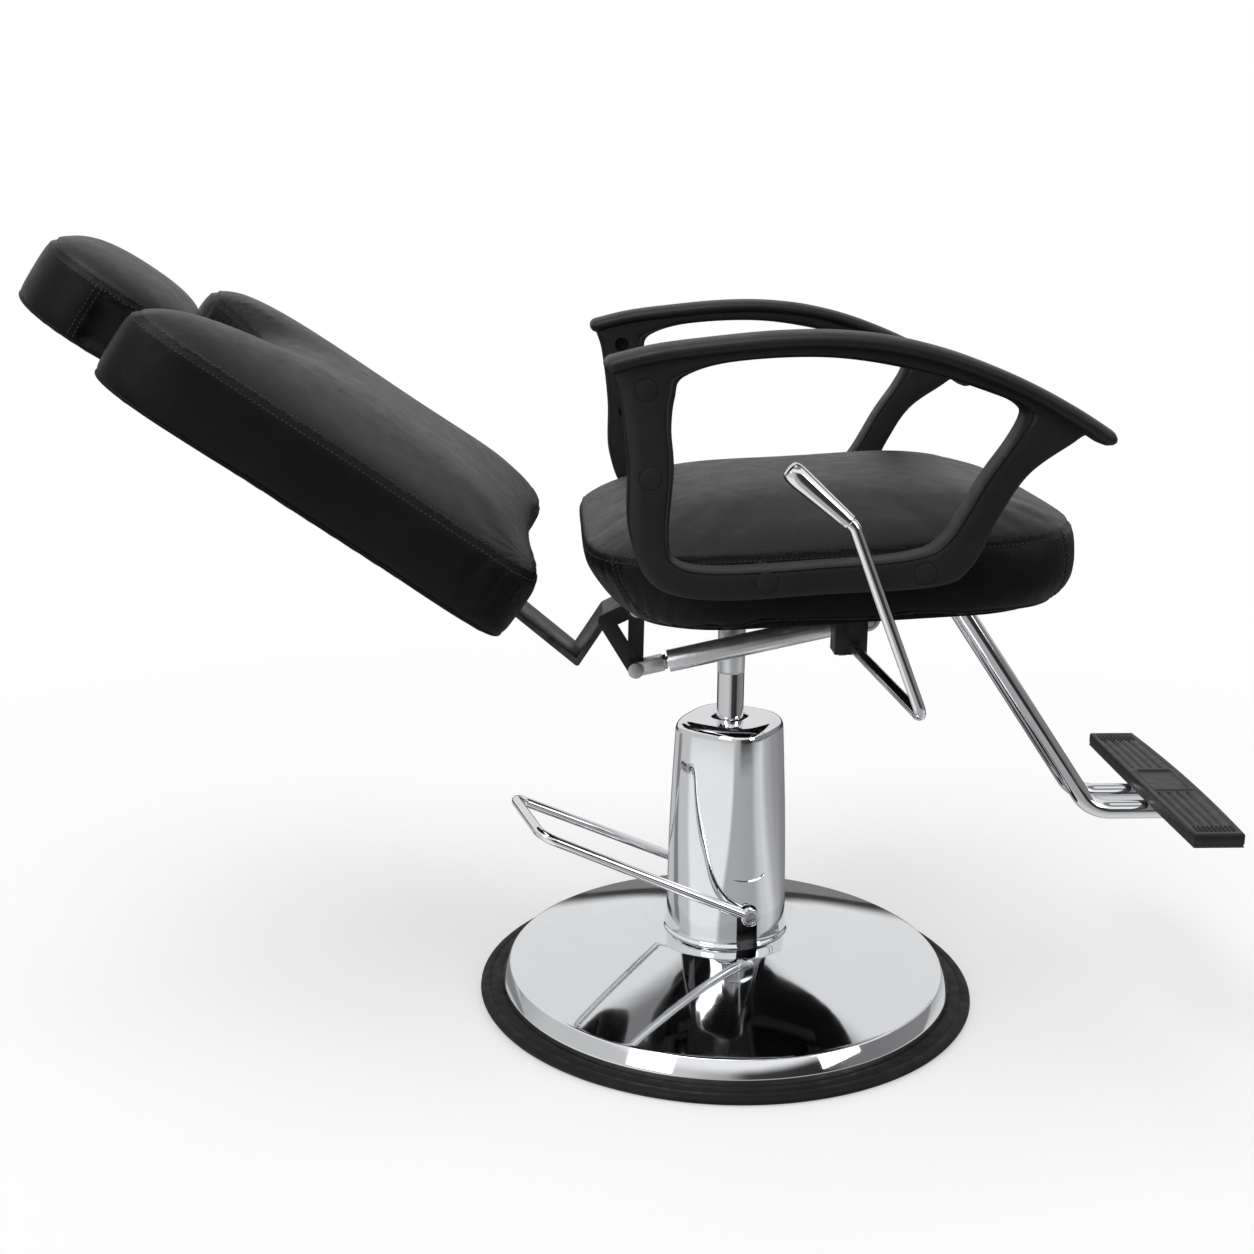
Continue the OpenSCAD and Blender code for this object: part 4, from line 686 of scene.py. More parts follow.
# A stitch: share along it, share of its thickness, share of the thickness that it stands up
STITCH = ((-0.5, 0.3, -0.6), (-0.3, 1, 0.35), (0, 1.1, 0.75), (0.3, 1, 0.35), (0.5, 0.3, -0.6))


def stitches(name, tree, lines, thread, body, closed=True):
    """Rows of raised thread stitches laid on a surface."""
    sewn = []
    for line in lines:
        pts, nos = laid_on(tree, resample(line, STITCH_PITCH / 2, closed), 0.0)
        for i in range(1, len(pts) - 1, 2):
            t = unit(pts[i + 1] - pts[i - 1])
            up = unit(nos[i] - t * np.dot(nos[i], t))
            ring = circle(np.cross(t, up), up, 6) * STITCH_R
            v, f = loft([pts[i] + t * along * STITCH_L + up * STITCH_R * rise + ring * r
                         for along, r, rise in STITCH])
            sewn.append((v, f + [tuple(range(5, -1, -1)), tuple(range(len(v) - 6, len(v)))]))
    return to_object(name, *joined(sewn), thread, body, "black_leather", 60)


def piping(name, tree, line, leather, body, radius, lift):
    """Covered cord sewn round an edge."""
    pts, nos = laid_on(tree, resample(line, 0.006), lift)
    for _ in range(6):
        pts = (np.roll(pts, 1, 0) + pts * 2 + np.roll(pts, -1, 0)) / 4
    t = unit(np.roll(pts, -1, 0) - np.roll(pts, 1, 0))
    a = unit(nos - t * np.sum(nos * t, 1)[:, None])
    b = np.cross(t, a)
    rings = [p + radius * circle(u, w, 10) for p, u, w in zip(pts, a, b)]
    return to_object(name, *loft(rings, closed_path=True), leather, body, "black_leather", 60)


def held_inside(inside, own, lines, reach=0.006):
    """Weights of points that a swelling cushion keeps: its pocket and its seams."""
    def weights(co):
        w = np.clip(1.5 - near_lines(co, lines, 1.0) / reach, 0, 1)
        w[inside(*own.local(co).T)] = 1.0
        return w
    return weights


def make_seat(leather_top, shaded_leather, thread):
    """Seat cushion with the plywood box's pocket, sewn corners and a welt at its foot."""
    pocket = oval(SEAT_X0 + BOX_REAR, SEAT_X1 - BOX_FRONT, SEAT_HALF - BOX_SIDE, SEAT_SQUARE,
                  SEAT_ANG)
    band = [(seat_ring(s), SEAT_BAND * s) for s in np.linspace(0, 1, 22)]
    v, f = cushion_skin(SEAT.on, pocket, 0.0, SEAT_POCKET, band, (seat_ring(1.0), SEAT_BAND),
                        SEAT_MID, SEAT_CROWN)
    seat = to_object("seat_cushion_cover", v, f, leather_top, "seat", "black_leather")
    top_seam, low_seam = SEAT.on(seat_ring(1.0), SEAT_BAND), SEAT.on(seat_ring(0.045), 3.5)
    plan = oval(SEAT_X0, SEAT_X1, SEAT_HALF, SEAT_SQUARE, SEAT_ANG) - SEAT_MID
    posts = []
    for sx, sy in ((1, 1), (1, -1), (-1, 1), (-1, -1)):
        k = int(np.argmax(plan[:, 0] * sx + plan[:, 1] * sy))
        posts.append(np.vstack([SEAT.on(seat_ring(s)[k:k + 1], SEAT_BAND * s)
                                for s in np.linspace(0.02, 1, 40)]))
    inside = lambda x, y, z: (
        (x > SEAT_X0 + BOX_REAR - 2) & (x < SEAT_X1 - BOX_FRONT + 2)
        & (np.abs(y) < SEAT_HALF - BOX_SIDE - 1) & (z < SEAT_POCKET + 2) | (z < 1.5))
    swell(seat, 0.0070, held_inside(inside, SEAT, [top_seam, low_seam] + posts), 0.0070)
    groove(seat, [top_seam], 0.0022, 0.0026)
    groove(seat, posts, 0.0016, 0.0022, False)
    gather(seat, posts)
    tree = surface_tree(seat)
    rows = [SEAT.on(seat_ring(0.945), 74.0), SEAT.on(inset(seat_ring(1.0), 4.5), SEAT_BAND + 2.6)]
    stitches("seat_seam_stitches", tree, rows, thread, "seat")
    piping("seat_lower_welt", tree, low_seam, shaded_leather, "seat", 0.0019, 0.0)
    stitches("seat_corner_stitches", tree,
             [p + np.array((0, dy * 0.0042, 0)) for p in posts for dy in (-1, 1)],
             thread, "seat", False)
    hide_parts("seat_cushion")
    split_band(seat, shaded_leather, SEAT, SEAT_BAND - 1)


def split_band(o, mat, own, height):
    """Darker copy of the same leather on the faces of the side band: painted shade."""
    o.data.materials.append(mat)
    loc = own.local(coords_of(o))[:, 2]
    idx = np.array([min(loc[i] for i in p.vertices) < height for p in o.data.polygons], int)
    o.data.polygons.foreach_set("material_index", idx)


def gather(o, posts, reach=62.0, height=0.0011):
    """Fine gathers of the leather at the seat's lower corners, strongest at the rear."""
    co, no = coords_of(o), normals_of(o)
    x, y, z = SEAT.local(co).T
    low = np.clip(1.0 - z / SEAT_POCKET, 0, 1) ** 0.8 * (z > -3)
    top = np.exp(-((z - 66) / 11.0) ** 2) * 0.55
    side = (no[:, 2] < 0.7).astype(float)
    for post in posts:
        at = SEAT.local(post)[len(post) // 2]
        strength = 0.85 if at[0] < 0 else 0.12
        fade = np.exp(-(np.hypot(x - at[0], y - at[1]) / reach) ** 2)
        turn = np.arctan2(y - at[1] * 0.72, x - (at[0] - 82) * 0.72 - 82)
        wave = np.sin(turn * 27 + 1.3 * np.sin(z * 0.11)) + 0.5 * np.sin(turn * 49 + 2.1)
        co = co + no * (wave * fade * (low * 1.1 + top) * strength * height * side)[:, None]
    set_coords(o, co)


def make_back(leather_top, shaded_leather, thread):
    """Back cushion with its notch, and the pocket of the headrest's guide."""
    v, f = panel_skin(back_ring, BACK_BAND, BACK_BOARD_IN, -68.0,
                      (0.0, BACK_FOOT + 0.42 * BACK_L), 0.0, BACK_CROWN)
    back = to_object("back_cushion_cover", v, f, leather_top, "back", "black_leather")
    cut(back, [slab((-69.5, -28.5, NOTCH_U - 158.5), (15.5, 57.0, 150.0 + NOTCH_D))])
    seam, rear = BACK.on(back_ring(BACK_SEAM_IN), 0.0), BACK.on(back_ring(2.4), 4 - BACK_BAND)
    pocket = [BACK.on(back_ring(BACK_BOARD_IN), -72.0)]
    inside = lambda a, u, n: (
        (n < -52) & (np.abs(a) < 31) & (u > NOTCH_U - 162) | (n < 2.5 - BACK_BAND)
        | (n < -66) & (near_lines(BACK.at(np.stack([a, u, n], 1)), pocket, 0.05) < 0.014))
    swell(back, 0.0070, held_inside(inside, BACK, [seam, rear]), 0.0060)
    groove(back, [seam], 0.0022, 0.0026)
    corner_folds(back)
    tree = surface_tree(back)
    rows = [BACK.on(back_ring(2.2), -5.0), BACK.on(inset(back_ring(BACK_SEAM_IN), 4.0), 2.6)]
    stitches("back_seam_stitches", tree, rows, thread, "back")
    piping("back_rear_piping", tree, rear, shaded_leather, "back", 0.0023, 0.0004)
    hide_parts("back_cushion")
    split_band(back, shaded_leather, BACK, -1.0)


def corner_folds(o, reach=58.0, height=0.0008):
    """Shallow folds where the back's cover is drawn round its lower corners and its notch."""
    co, no = coords_of(o), normals_of(o)
    across, along, n = BACK.local(co).T
    band = np.exp(-((n + 20) / 34.0) ** 2)
    for x, u, share in ((-228, 150, 1), (228, 150, 1), (-104, 585, 0.8), (104, 585, 0.8)):
        fade = np.exp(-(np.hypot(across - x, along - u) / reach) ** 2)
        turn = np.arctan2(along - u, across - x)
        wave = np.sin(turn * 17 + 0.02 * n) + 0.6 * np.sin(turn * 31 + 1.7)
        co = co + no * (wave * fade * band * share * height)[:, None]
    set_coords(o, co)


def make_headrest(leather_top, shaded_leather, thread):
    """Headrest cushion with its strap's slot, and the recess and pockets at its foot."""
    v, f = panel_skin(head_ring, HEAD_BAND, HEAD_BOARD_IN, -64.0,
                      (0.0, HEAD_FOOT + HEAD_L / 2), HEAD_SEAM, HEAD_CROWN)
    head = to_object("headrest_cushion_cover", v, f, leather_top, "headrest", "black_leather")
    for corners, size in (([(-65.0, -21.0, HEAD_FOOT - 6)], (8.0, 42.0, 110.0)),
                          ([(HEAD_REAR + 8, -68.0, HEAD_FOOT - 9)], (52.0, 136.0, 32.0)),
                          ([(HEAD_REAR + 9, y, HEAD_FOOT + 31) for y in (-118.0, 96.0)],
                           (54.0, 22.0, 56.0))):
        cut(head, [slab(corner, size) for corner in corners])
    seam = BACK.on(head_ring(HEAD_SEAM_IN), HEAD_SEAM)
    rear = BACK.on(head_ring(1.6), HEAD_REAR + 4)
    inside = lambda a, u, n: (
        (np.abs(a) < 72) & (u < HEAD_FOOT + 26) & (n < HEAD_SEAM - 6)
        | (np.abs(a) > 94) & (u < HEAD_FOOT + 90) & (n < HEAD_SEAM - 18) | (n < HEAD_REAR + 2)
        | (n < -54) & (np.abs(a) < 84) & (u > HEAD_FOOT + 24) & (u < HEAD_FOOT + 154))
    swell(head, 0.0050, held_inside(inside, BACK, [seam, rear]), 0.0050)
    groove(head, [seam], 0.0019, 0.0024)
    tree = surface_tree(head)
    rows = [BACK.on(head_ring(1.6), HEAD_SEAM - 4.5),
            BACK.on(inset(head_ring(HEAD_SEAM_IN), 3.6), HEAD_SEAM + 2.4)]
    stitches("headrest_seam_stitches", tree, rows, thread, "headrest")
    piping("headrest_rear_piping", tree, rear, shaded_leather, "headrest", 0.002, 0.0003)
    heights = np.linspace(HEAD_REAR + 6, HEAD_SEAM - 3, 30)
    posts = lambda aside: [BACK.on([(x, HEAD_FOOT + 93.0 + aside)] * 30, heights)
                           for x in (-HEAD_HALF, HEAD_HALF)]
    groove(head, posts(0.0), 0.0014, 0.002, False)
    stitches("headrest_side_stitches", tree, posts(-3.4) + posts(3.4), thread, "headrest", False)
    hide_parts("headrest_cushion")
    split_band(head, shaded_leather, BACK, HEAD_SEAM - 1)


# Arms

ARM = [
    ((0.000, 0.862), (0.132, 0.755), 0.7), ((0.018, 0.905), (0.150, 0.830), 1),
    ((0.219, 0.974), (0.250, 0.885), 1), ((0.436, 1.000), (0.440, 0.900), 1),
    ((0.650, 0.940), (0.622, 0.848), 1), ((0.838, 0.808), (0.765, 0.768), 1),
    ((0.965, 0.652), (0.814, 0.725), 1), ((0.945, 0.597), (0.821, 0.683), 0.9),
    ((0.840, 0.475), (0.798, 0.592), 0.1), ((0.783, 0.313), (0.752, 0.465), 0),
    ((0.732, 0.120), (0.680, 0.240), 0), ((0.660, 0.050), (0.610, 0.172), 0),
    ((0.440, 0.023), (0.440, 0.140), 0), ((0.219, 0.000), (0.225, 0.117), 0),
    ((0.096, 0.055), (0.140, 0.148), 0), ((0.045, 0.250), (0.124, 0.250), 0),
    ((0.040, 0.510), (0.132, 0.490), 0), ((0.022, 0.755), (0.126, 0.640), 0.15)]
# The arm's section: share from inner to outer curve, and share of thickness, for one half of it
ARM_RIB = [(0.00, 0.74), (0.03, 0.9), (0.075, 0.965), (0.10, 0.95), (0.125, 0.95), (0.15, 0.99),
           (0.2, 1), (0.40, 1), (0.66, 1), (0.86, 0.99), (0.955, 0.93), (1, 0.74)]
ARM_SECTION = [(0, 0.26), (0, 0.5)] + ARM_RIB + [(1, 0.5)] + [(s, 1 - y) for s, y in ARM_RIB[:0:-1]]
# Middle of the soft pad along the top of an arm
ARM_PAD = [(0.010, 0.873), (0.100, 0.913), (0.219, 0.942), (0.330, 0.962), (0.436, 0.967),
           (0.545, 0.950), (0.650, 0.908), (0.748, 0.846), (0.838, 0.774), (0.920, 0.694),
           (0.986, 0.619)]
ARM_HOLES = [(0.32, 0.0755), (0.639, 0.109)]
ARM_SCREWS = [(0.075, 0.785), (0.085, 0.464)]
ARM_AT, ARM_SIZE = np.array((-158, 554)), np.array((493, 265))
ARM_INNER, ARM_THICK, ARM_UNDERCUT = 262, 40, 6.5
PAD_MID, PAD_HALF, PAD_HIGH = 286, 30, 8.6


def arm_xz(share):
    return ARM_AT + np.array(share) * ARM_SIZE


def pad_mesh(side):
    """Soft rounded pad on top of an arm, with blunt round ends."""
    line = resample(catmull([arm_xz(s) for s in ARM_PAD], 12, False), 5.0, False)
    t = unit(np.vstack([line[1] - line[0], line[2:] - line[:-2], line[-1] - line[-2]]))
    n = np.stack([-t[:, 1], t[:, 0]], 1)
    ends = (0.97, 0.75, 0.4)
    rings = [(line[0] - t[0] * PAD_HIGH * w, n[0], math.sqrt(1 - w * w)) for w in ends]
    rings += [(c, up, 1.0) for c, up in zip(line, n)]
    rings += [(line[-1] + t[-1] * PAD_HIGH * w, n[-1], math.sqrt(1 - w * w)) for w in ends[::-1]]
    ang = np.arange(36) * math.pi / 18
    wide = np.sign(np.cos(ang)) * np.abs(np.cos(ang)) ** 0.62
    high = np.sign(np.sin(ang)) * np.abs(np.sin(ang)) ** 0.75
    out = []
    for c, up, grow in rings:
        y = (PAD_HALF - PAD_HIGH * (1 - grow)) * wide
        h = PAD_HIGH * grow * high
        h = np.where(h > 0, h * (1 - 0.10 * (y / PAD_HALF) ** 2), h)
        out.append(np.stack([c[0] + up[0] * h, side * (PAD_MID + y), c[1] + up[1] * h], 1) * MM)
    return capped(out)


def make_arm(side, mat):
    """One arm: its moulding with the screws' bores, its pad and its two bosses."""
    outs, ins = (catmull([arm_xz(s[k]) for s in ARM], 9) for k in (0, 1))
    pads = np.clip(catmull([(s[2], 0) for s in ARM], 9)[:, 0], 0, 1)
    rings = []
    for outer, inner, pad in zip(outs, ins, pads):
        reach = 1 - pad * ARM_UNDERCUT / np.linalg.norm(outer - inner)
        ring = []
        for s, y in ARM_SECTION:
            x, z = inner + s * reach * (outer - inner)
            ring.append((x * MM, side * (ARM_INNER + y * ARM_THICK) * MM, z * MM))
        rings.append(ring[::side])
    name = "arm_left" if side > 0 else "arm_right"
    arm = to_object(name + "_moulding", *loft(rings, closed_path=True), mat, "seat",
                    "arm_plastic", 50)
    bar = lambda share, start, radius, depth, bevel=0.0: cylinder_mesh(
        np.insert(arm_xz(share) * MM, 1, side * start), (0, side, 0), radius, depth, bevel=bevel)
    for places, start, radius, depth in ((ARM_HOLES + ARM_SCREWS, 0.2988, 0.0114, 0.01),
                                         (ARM_HOLES + ARM_SCREWS, 0.25, 0.0043, 0.06),
                                         (ARM_SCREWS, 0.25, 0.0088, 0.030)):
        cut(arm, [bar(share, start, radius, depth) for share in places])
    smooth(arm, 40)
    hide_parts(name)
    extras = [to_object(name + "_pad", *pad_mesh(side), mat, "seat", "arm_plastic", 60)]
    for k, share in enumerate(ARM_HOLES):
        extras.append(to_object("%s_boss_%d" % (name, k), *bar(share, 0.2422, 0.0118, 0.02, 0.0006),
                                mat, "seat", "arm_plastic"))
    for extra in extras:
        extra["part_of"] = name


# Chrome and rubber pieces

DISH_R, DISH_T, HUB_R, HUB_TOP = 273.0, 3.0, 102.0, 79.0
RIM_STEP, BOTTOM_T, RIM_Z, RIM_TOP = 9.0, 4.0, 17.5, 36.0


def make_floor_ring(mat):
    edge = [(288.0, 0.4), (293.5, 0.0), (298.2, 1.4), (300.0, 4.2), (299.6, 6.9), (297.4, 8.9),
            (293.8, 9.8), (288.6, 10.0), (287.9, 9.4), (287.2, 10.0), (277.5, 10.1), (274.2, 9.9)]
    v, f = loft(turned([(DISH_R + 0.2, 0.0)] + edge + [(DISH_R + 0.2, 9.2)]), closed_path=True)
    ring = to_object("floor_ring_moulding", v, f, mat, "base", "rubber_black", 50)
    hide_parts("floor_ring")


def make_tubes(chrome, bend=45.0, radius=0.011, half_gap=0.030):
    """The footrest's two bent tubes. They run down from under the seat, then level."""
    top_x, corner_x, end_x, level, slope = 252.0, 434.0, 545.0, 234.0, math.radians(55.6)
    top = (top_x, 0.0, level + (corner_x - top_x) * math.tan(slope))
    line = bent_line([top, (corner_x, 0, level), (end_x, 0, level)], bend, 24) * MM
    pair = joined([sweep(line + np.array((0, y, 0)), radius, 48, ends=False)
                   for y in (-half_gap, half_gap)])
    o = to_object("footrest_tube_pair", *pair, chrome, "seat", "chrome_plate")
    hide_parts("footrest_tubes")


PEDAL_TURN, PEDAL_RISE = math.pi + math.radians(15), math.radians(26.5)
PEDAL = Frame((0, 0, 120.0), (math.cos(PEDAL_TURN), math.sin(PEDAL_TURN), 0),
              (-math.sin(PEDAL_TURN), math.cos(PEDAL_TURN), 0), (0, 0, 1))


def make_pedal(chrome, half=78.0, reach=279, bend=20.0, radius=0.006):
    """The pedal's bent rod and the eyes by which it hangs on its pivots."""
    line = bent_line([(8, -half, 0), (reach, 11 - half, 0), (reach, half - 11, 0), (8, half, 0)],
                     bend, 20)
    c, s = math.cos(PEDAL_RISE), math.sin(PEDAL_RISE)
    line = np.stack([line[:, 0] * c, line[:, 1], line[:, 0] * s], 1)
    up = PEDAL.at((0, 0, 0))[0] - PEDAL.at((s, 0, -c))[0]
    rod = to_object("pedal_rod", *sweep(PEDAL.at(line), radius, 40, across=up), chrome, "pedal",
                    "chrome_plate")
    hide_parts("pedal_loop")
    section = rounded([(7.05, -5.5), (11.0, -5.5), (11.0, 5.5), (7.05, 5.5)], 1.6)
    for k, y in enumerate((-half, half)):
        rings = [PEDAL.at(r * circle((1, 0, 0), (0, 0, 1), 64) + (0, y + h, 0))
                 for r, h in section]
        to_object("pedal_eye_%d" % k, *loft(rings, closed_path=True), chrome, "pedal",
                  "chrome_plate")


COVER_FOOT, COVER_SHOULDER, COVER_TOP = 84, 331, 345.0
SLIT_Z, SLIT_TURN, SLIT_DEPTH = 166, math.radians(16), 0.0019


def cover_section(ang, z):
    """Radius of the cover's section: a circle at its foot, squarish at its top."""
    k = min(max((z - COVER_FOOT) / 215, 0), 1)
    k = k * k * (3 - 2 * k)
    a = ang - math.radians(58)
    power = 2.0 + 1.15 * k
    r = (np.abs(np.cos(a)) ** power + np.abs(np.sin(a)) ** power) ** (-1 / power)
    return r / (1 + 0.050 * k)


def make_cover(chrome):
    """Cover over the pump: round flared foot that turns squarer and softer to its top."""
    outer = [(74.6, 79.4), (75.9, 79.3), (76.1, 80.2), (75.6, 81.4), (74.3, 82.6), (73.5, 84.6),
             (73.1, 87.5)]
    outer += [(73.0 - 12.0 * ((z - 88) / 249.0) ** 1.05, z)
              for z in np.linspace(92, COVER_SHOULDER, 46)]
    r0 = outer[-1][0]
    outer += [(r0 - 14 * (1 - math.cos(t)), COVER_SHOULDER + 13.9 * math.sin(t))
              for t in np.linspace(0.1, math.pi / 2, 14)]
    outer += [(40.0, COVER_TOP), (22.4, COVER_TOP), (21.4, 344.7), (21.0, 344.0)]
    inner = [(21.0, 343.0), (40.0, 343.0), (r0 - 14, 342.6), (r0 - 4, 338.0), (r0 - 2, 330.0),
             (71.0, 88.0), (73.6, 79.4)]
    v, f = loft(turned(outer + inner, 288, cover_section), closed_path=True)
    cover = to_object("pump_cover_shell", v, f, chrome, "base", "chrome_plate", 45)
    cut(cover, pivot_slots() + [slit(surface_tree(cover))])
    smooth(cover, 32)
    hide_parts("pump_cover")


def pivot_slots(radius=13, foot=-45):
    """Cutters of the arched slots in the cover that the pedal's pivots pass through."""
    arch = [(radius * math.cos(t), radius * math.sin(t)) for t in np.linspace(0, math.pi, 20)]
    arch += [(-radius, foot), (radius, foot)]
    return [capped([PEDAL.at([(x, y, z) for x, z in arch]) for y in ends])
            for ends in ((-92, -42), (42, 92))]


def slit(tree, half=20):
    """Cutter of the shallow lens pressed into the cover's front. It follows the cover."""
    lens = []
    for t in np.linspace(0, 2 * math.pi, 2 * half, endpoint=False):
        x, z = 22 * math.cos(t), 4.5 * math.sin(t) * abs(math.sin(t)) ** 0.15
        lens.append((x, z + 0.0022 * (x * x)))
    c, s = math.cos(SLIT_TURN), math.sin(SLIT_TURN)
    at = lambda x, y, z: ((x * c - y * s) * MM, (x * s + y * c) * MM, (SLIT_Z + z) * MM)
    ahead = Vector((-s, c, 0))
    a = np.array([at(x, -90, z) for x, z in lens])
    b = np.array([np.array(tree.ray_cast(Vector(q), ahead)[0] + ahead * SLIT_DEPTH) for q in a])
    v, f = loft([a, b], first=a.mean(0))
    n = 2 * half
    f += [(n + k, n + 1 + k, 2 * n - 1 - k, n + (n - k) % n) for k in range(1, half - 1)]
    return v, f + [(n, n + 1, 2 * n - 1), (n + half - 1, n + half, n + half + 1)]


def make_lever(chrome, radius=0.006, inward=260):
    """Recline lever: bent rod and turned grip."""
    yaw, droop = math.radians(8.2), math.radians(4.3)
    axis = Vector((math.sin(yaw) * math.cos(droop), -math.cos(yaw) * math.cos(droop),
                   -math.sin(droop)))
    low, knee, top = Vector((154, -335, 443)), Vector((76, -345, 638)), Vector((6, -345, 698))
    start = low - axis * (inward / -axis.y)
    grip = (top - knee).normalized()
    line = bent_line([start, low, knee, knee + grip * 56], 14.0, 20) * MM
    rod = to_object("lever_bent_rod", *sweep(line, radius, 40, across=(0.7, 0.05, 0.7)), chrome,
                    "lever", "chrome_plate")
    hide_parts("lever_rod")
    profile = [(6.15, 0.5), (6.9, 0), (7.6, 0.9), (7.4, 2.6), (7.7, 4.2), (8.1, 12), (9.0, 30),
               (10.2, 50), (10.95, 64), (11.0, 70), (10.5, 74.4), (9.0, 77.8), (6.6, 79.4), (3.2, 80)]
    a = np.array(grip)
    base = np.array(knee) + a * 6.0
    u = np.cross(a, (0, 1, 0))
    ring = circle(u, np.cross(a, u), 48)
    v, f = loft([(base + a * z + r * ring) * MM for r, z in profile],
                first=(base + a * 0.5) * MM, last=(base + a * 80.1) * MM)
    turned_grip = to_object("lever_grip_turned", v, f, chrome, "lever", "chrome_plate", 30)
    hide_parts("lever_grip")


# Foot plate's rubber cover

PLATE_X, PLATE_HALF_X, PLATE_HALF_Y = 531.5, 32, 186
PLATE_FOOT, PLATE_TOP, PLATE_ROUND = 245.0, 262.0, 1.2


def plate_point(t, w, inset_by=0.0):
    """Plan point of the plate: t across from -1 to 1, w from rear -1 to front 1."""
    front = PLATE_X + PLATE_HALF_X - inset_by - 6 * t * t
    rear = PLATE_X - PLATE_HALF_X + inset_by + t * t
    return np.array((rear + (front - rear) * (w + 1) / 2, t * (PLATE_HALF_Y - inset_by)))


def tread_depth(t, w, a):
    """Depth of the tread below the top, at a distance a from the middle."""
    to_end, to_edge = (1 - abs(t)) * PLATE_HALF_Y, (1 - abs(w)) * PLATE_HALF_X
    if 44 < a < 157 and to_edge > 8 and (w * PLATE_HALF_X + 24) % 12 < 3.2:
        return 3.6
    if a < 34 and to_edge > 10:
        return 2.4
    if a < 38 and to_edge > 7:
        return 0.1
    return 0.2 if to_end < 6 or to_edge < 5 else 1.4


def plate_dot(x, y):
    """One low round dot of the tread's ends."""
    flat = circle((1, 0, 0), (0, 1, 0), 12)
    v, f = loft([np.array((x, y, PLATE_TOP - 1.4 + h)) + r * flat
                 for r, h in ((1.75, -0.4), (1.75, 0.5), (1.35, 1.15), (0.7, 1.4))])
    return v, f + [tuple(range(len(v) - 12, len(v)))]


def make_foot_pad(mat, nx=60, ny=260):
    """Rubber cover: raised border, dotted ends, long grooves and a sunk middle."""
    ws, ts = np.linspace(-1, 1, nx), np.linspace(-1, 1, ny)
    plan = np.array([[plate_point(t, w, PLATE_ROUND) for w in ws] for t in ts])
    z = np.array([[PLATE_TOP - tread_depth(t, w, abs(plan[j, i, 1])) for i, w in enumerate(ws)]
                  for j, t in enumerate(ts)])
    k = np.array([1, 2, 1]) / 4
    z[1:-1, 1:-1] = sum(k[a] * k[b] * z[a:a + ny - 2, b:b + nx - 2]
                        for a in range(3) for b in range(3))
    verts = [tuple(v) for v in np.dstack([plan, z]).reshape(-1, 3)]
    faces = [(j * nx + i, j * nx + i + 1, (j + 1) * nx + i + 1, (j + 1) * nx + i)
             for j in range(ny - 1) for i in range(nx - 1)]
    rim = [(0, i) for i in range(nx)] + [(j, nx - 1) for j in range(1, ny)]
    rim += [(ny - 1, i) for i in range(nx - 2, -1, -1)] + [(j, 0) for j in range(ny - 2, 0, -1)]
    loop, n = [j * nx + i for j, i in rim], len(rim)
    for out, z in ((0.6, PLATE_TOP - 0.9), (1.2, PLATE_TOP - 2.0), (1.2, PLATE_FOOT + 4.2),
                   (0.4, PLATE_FOOT + 3.4), (0.4, PLATE_FOOT + 2.6), (1.2, PLATE_FOOT + 1.8),
                   (1.0, PLATE_FOOT + 0.3), (-4.0, PLATE_FOOT + 0.3)):
        new = [len(verts) + q for q in range(n)]
        verts += [(*plate_point(ts[j], ws[i], PLATE_ROUND - out), z) for j, i in rim]
        faces += [(loop[(q + 1) % n], loop[q], new[q], new[(q + 1) % n]) for q in range(n)]
        loop = new
    pad = to_object("foot_plate_rubber", np.array(verts) * MM, faces, mat, "seat", "rubber_black", 50)
    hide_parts("foot_rubber")
    v, f = joined([plate_dot(*plate_point(side * (0.865 + a * 0.034), -0.74 + b * 0.185,
                                          PLATE_ROUND))
                   for side in (-1, 1) for a in range(3) for b in range(9)])
    to_object("foot_plate_dots", np.array(v) * MM, f, mat, "seat", "rubber_black", 60)


def make_dish(chrome):
    """Pressed dish: bevelled rim, gently swelling cone and flat hub."""
    rim = DISH_R - RIM_STEP
    line = [(DISH_R, BOTTOM_T), (DISH_R, RIM_Z), (rim, RIM_TOP)]
    cone = []
    for k in np.linspace(0, 1, 40)[1:]:
        cone.append((rim + (HUB_R - rim) * k,
                     RIM_TOP + (HUB_TOP - RIM_TOP) * k + 1.2 * math.sin(math.pi * k)))
    outer = rounded(line + cone[:1], 1.6) + cone[1:-1]
    outer += rounded([cone[-2], cone[-1], (60, HUB_TOP)], 2.2)[1:]
    outer += [(38.3, HUB_TOP), (38.3, HUB_TOP - DISH_T), (99.0, HUB_TOP - DISH_T),
              (rim - DISH_T, RIM_TOP - DISH_T), (DISH_R - DISH_T, RIM_Z - DISH_T),
              (DISH_R - DISH_T, BOTTOM_T)]
    v, f = loft(turned(outer, 360), closed_path=True)
    dish = to_object("base_dish_shell", v, f, chrome, "base", "chrome_plate", 24)
    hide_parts("base_dish")


# Studio

# Brightness that chrome mirrors, by compass angle in degrees: of the floor near by and far off
NEAR_LIGHT = [(-180, 0.62), (-165, 0.62), (-157, 0.95), (-114, 0.95), (-105, 0.46), (-45, 0.42),
              (-20, 0.68), (-6, 0.76), (18, 0.45), (36, 0.28), (60, 0.22), (100, 0.22), (122, 0.40),
              (128, 0.62), (150, 0.60), (159, 0.25), (168, 0.25), (174, 0.62)]
FAR_LIGHT = [(-180, 0.62), (-115, 0.66), (-97, 0.45), (-82, 0.05), (-48, 0.03), (-32, 0.20),
             (24, 0.26), (46, 0.05), (130, 0.05), (150, 0.50), (172, 0.62)]


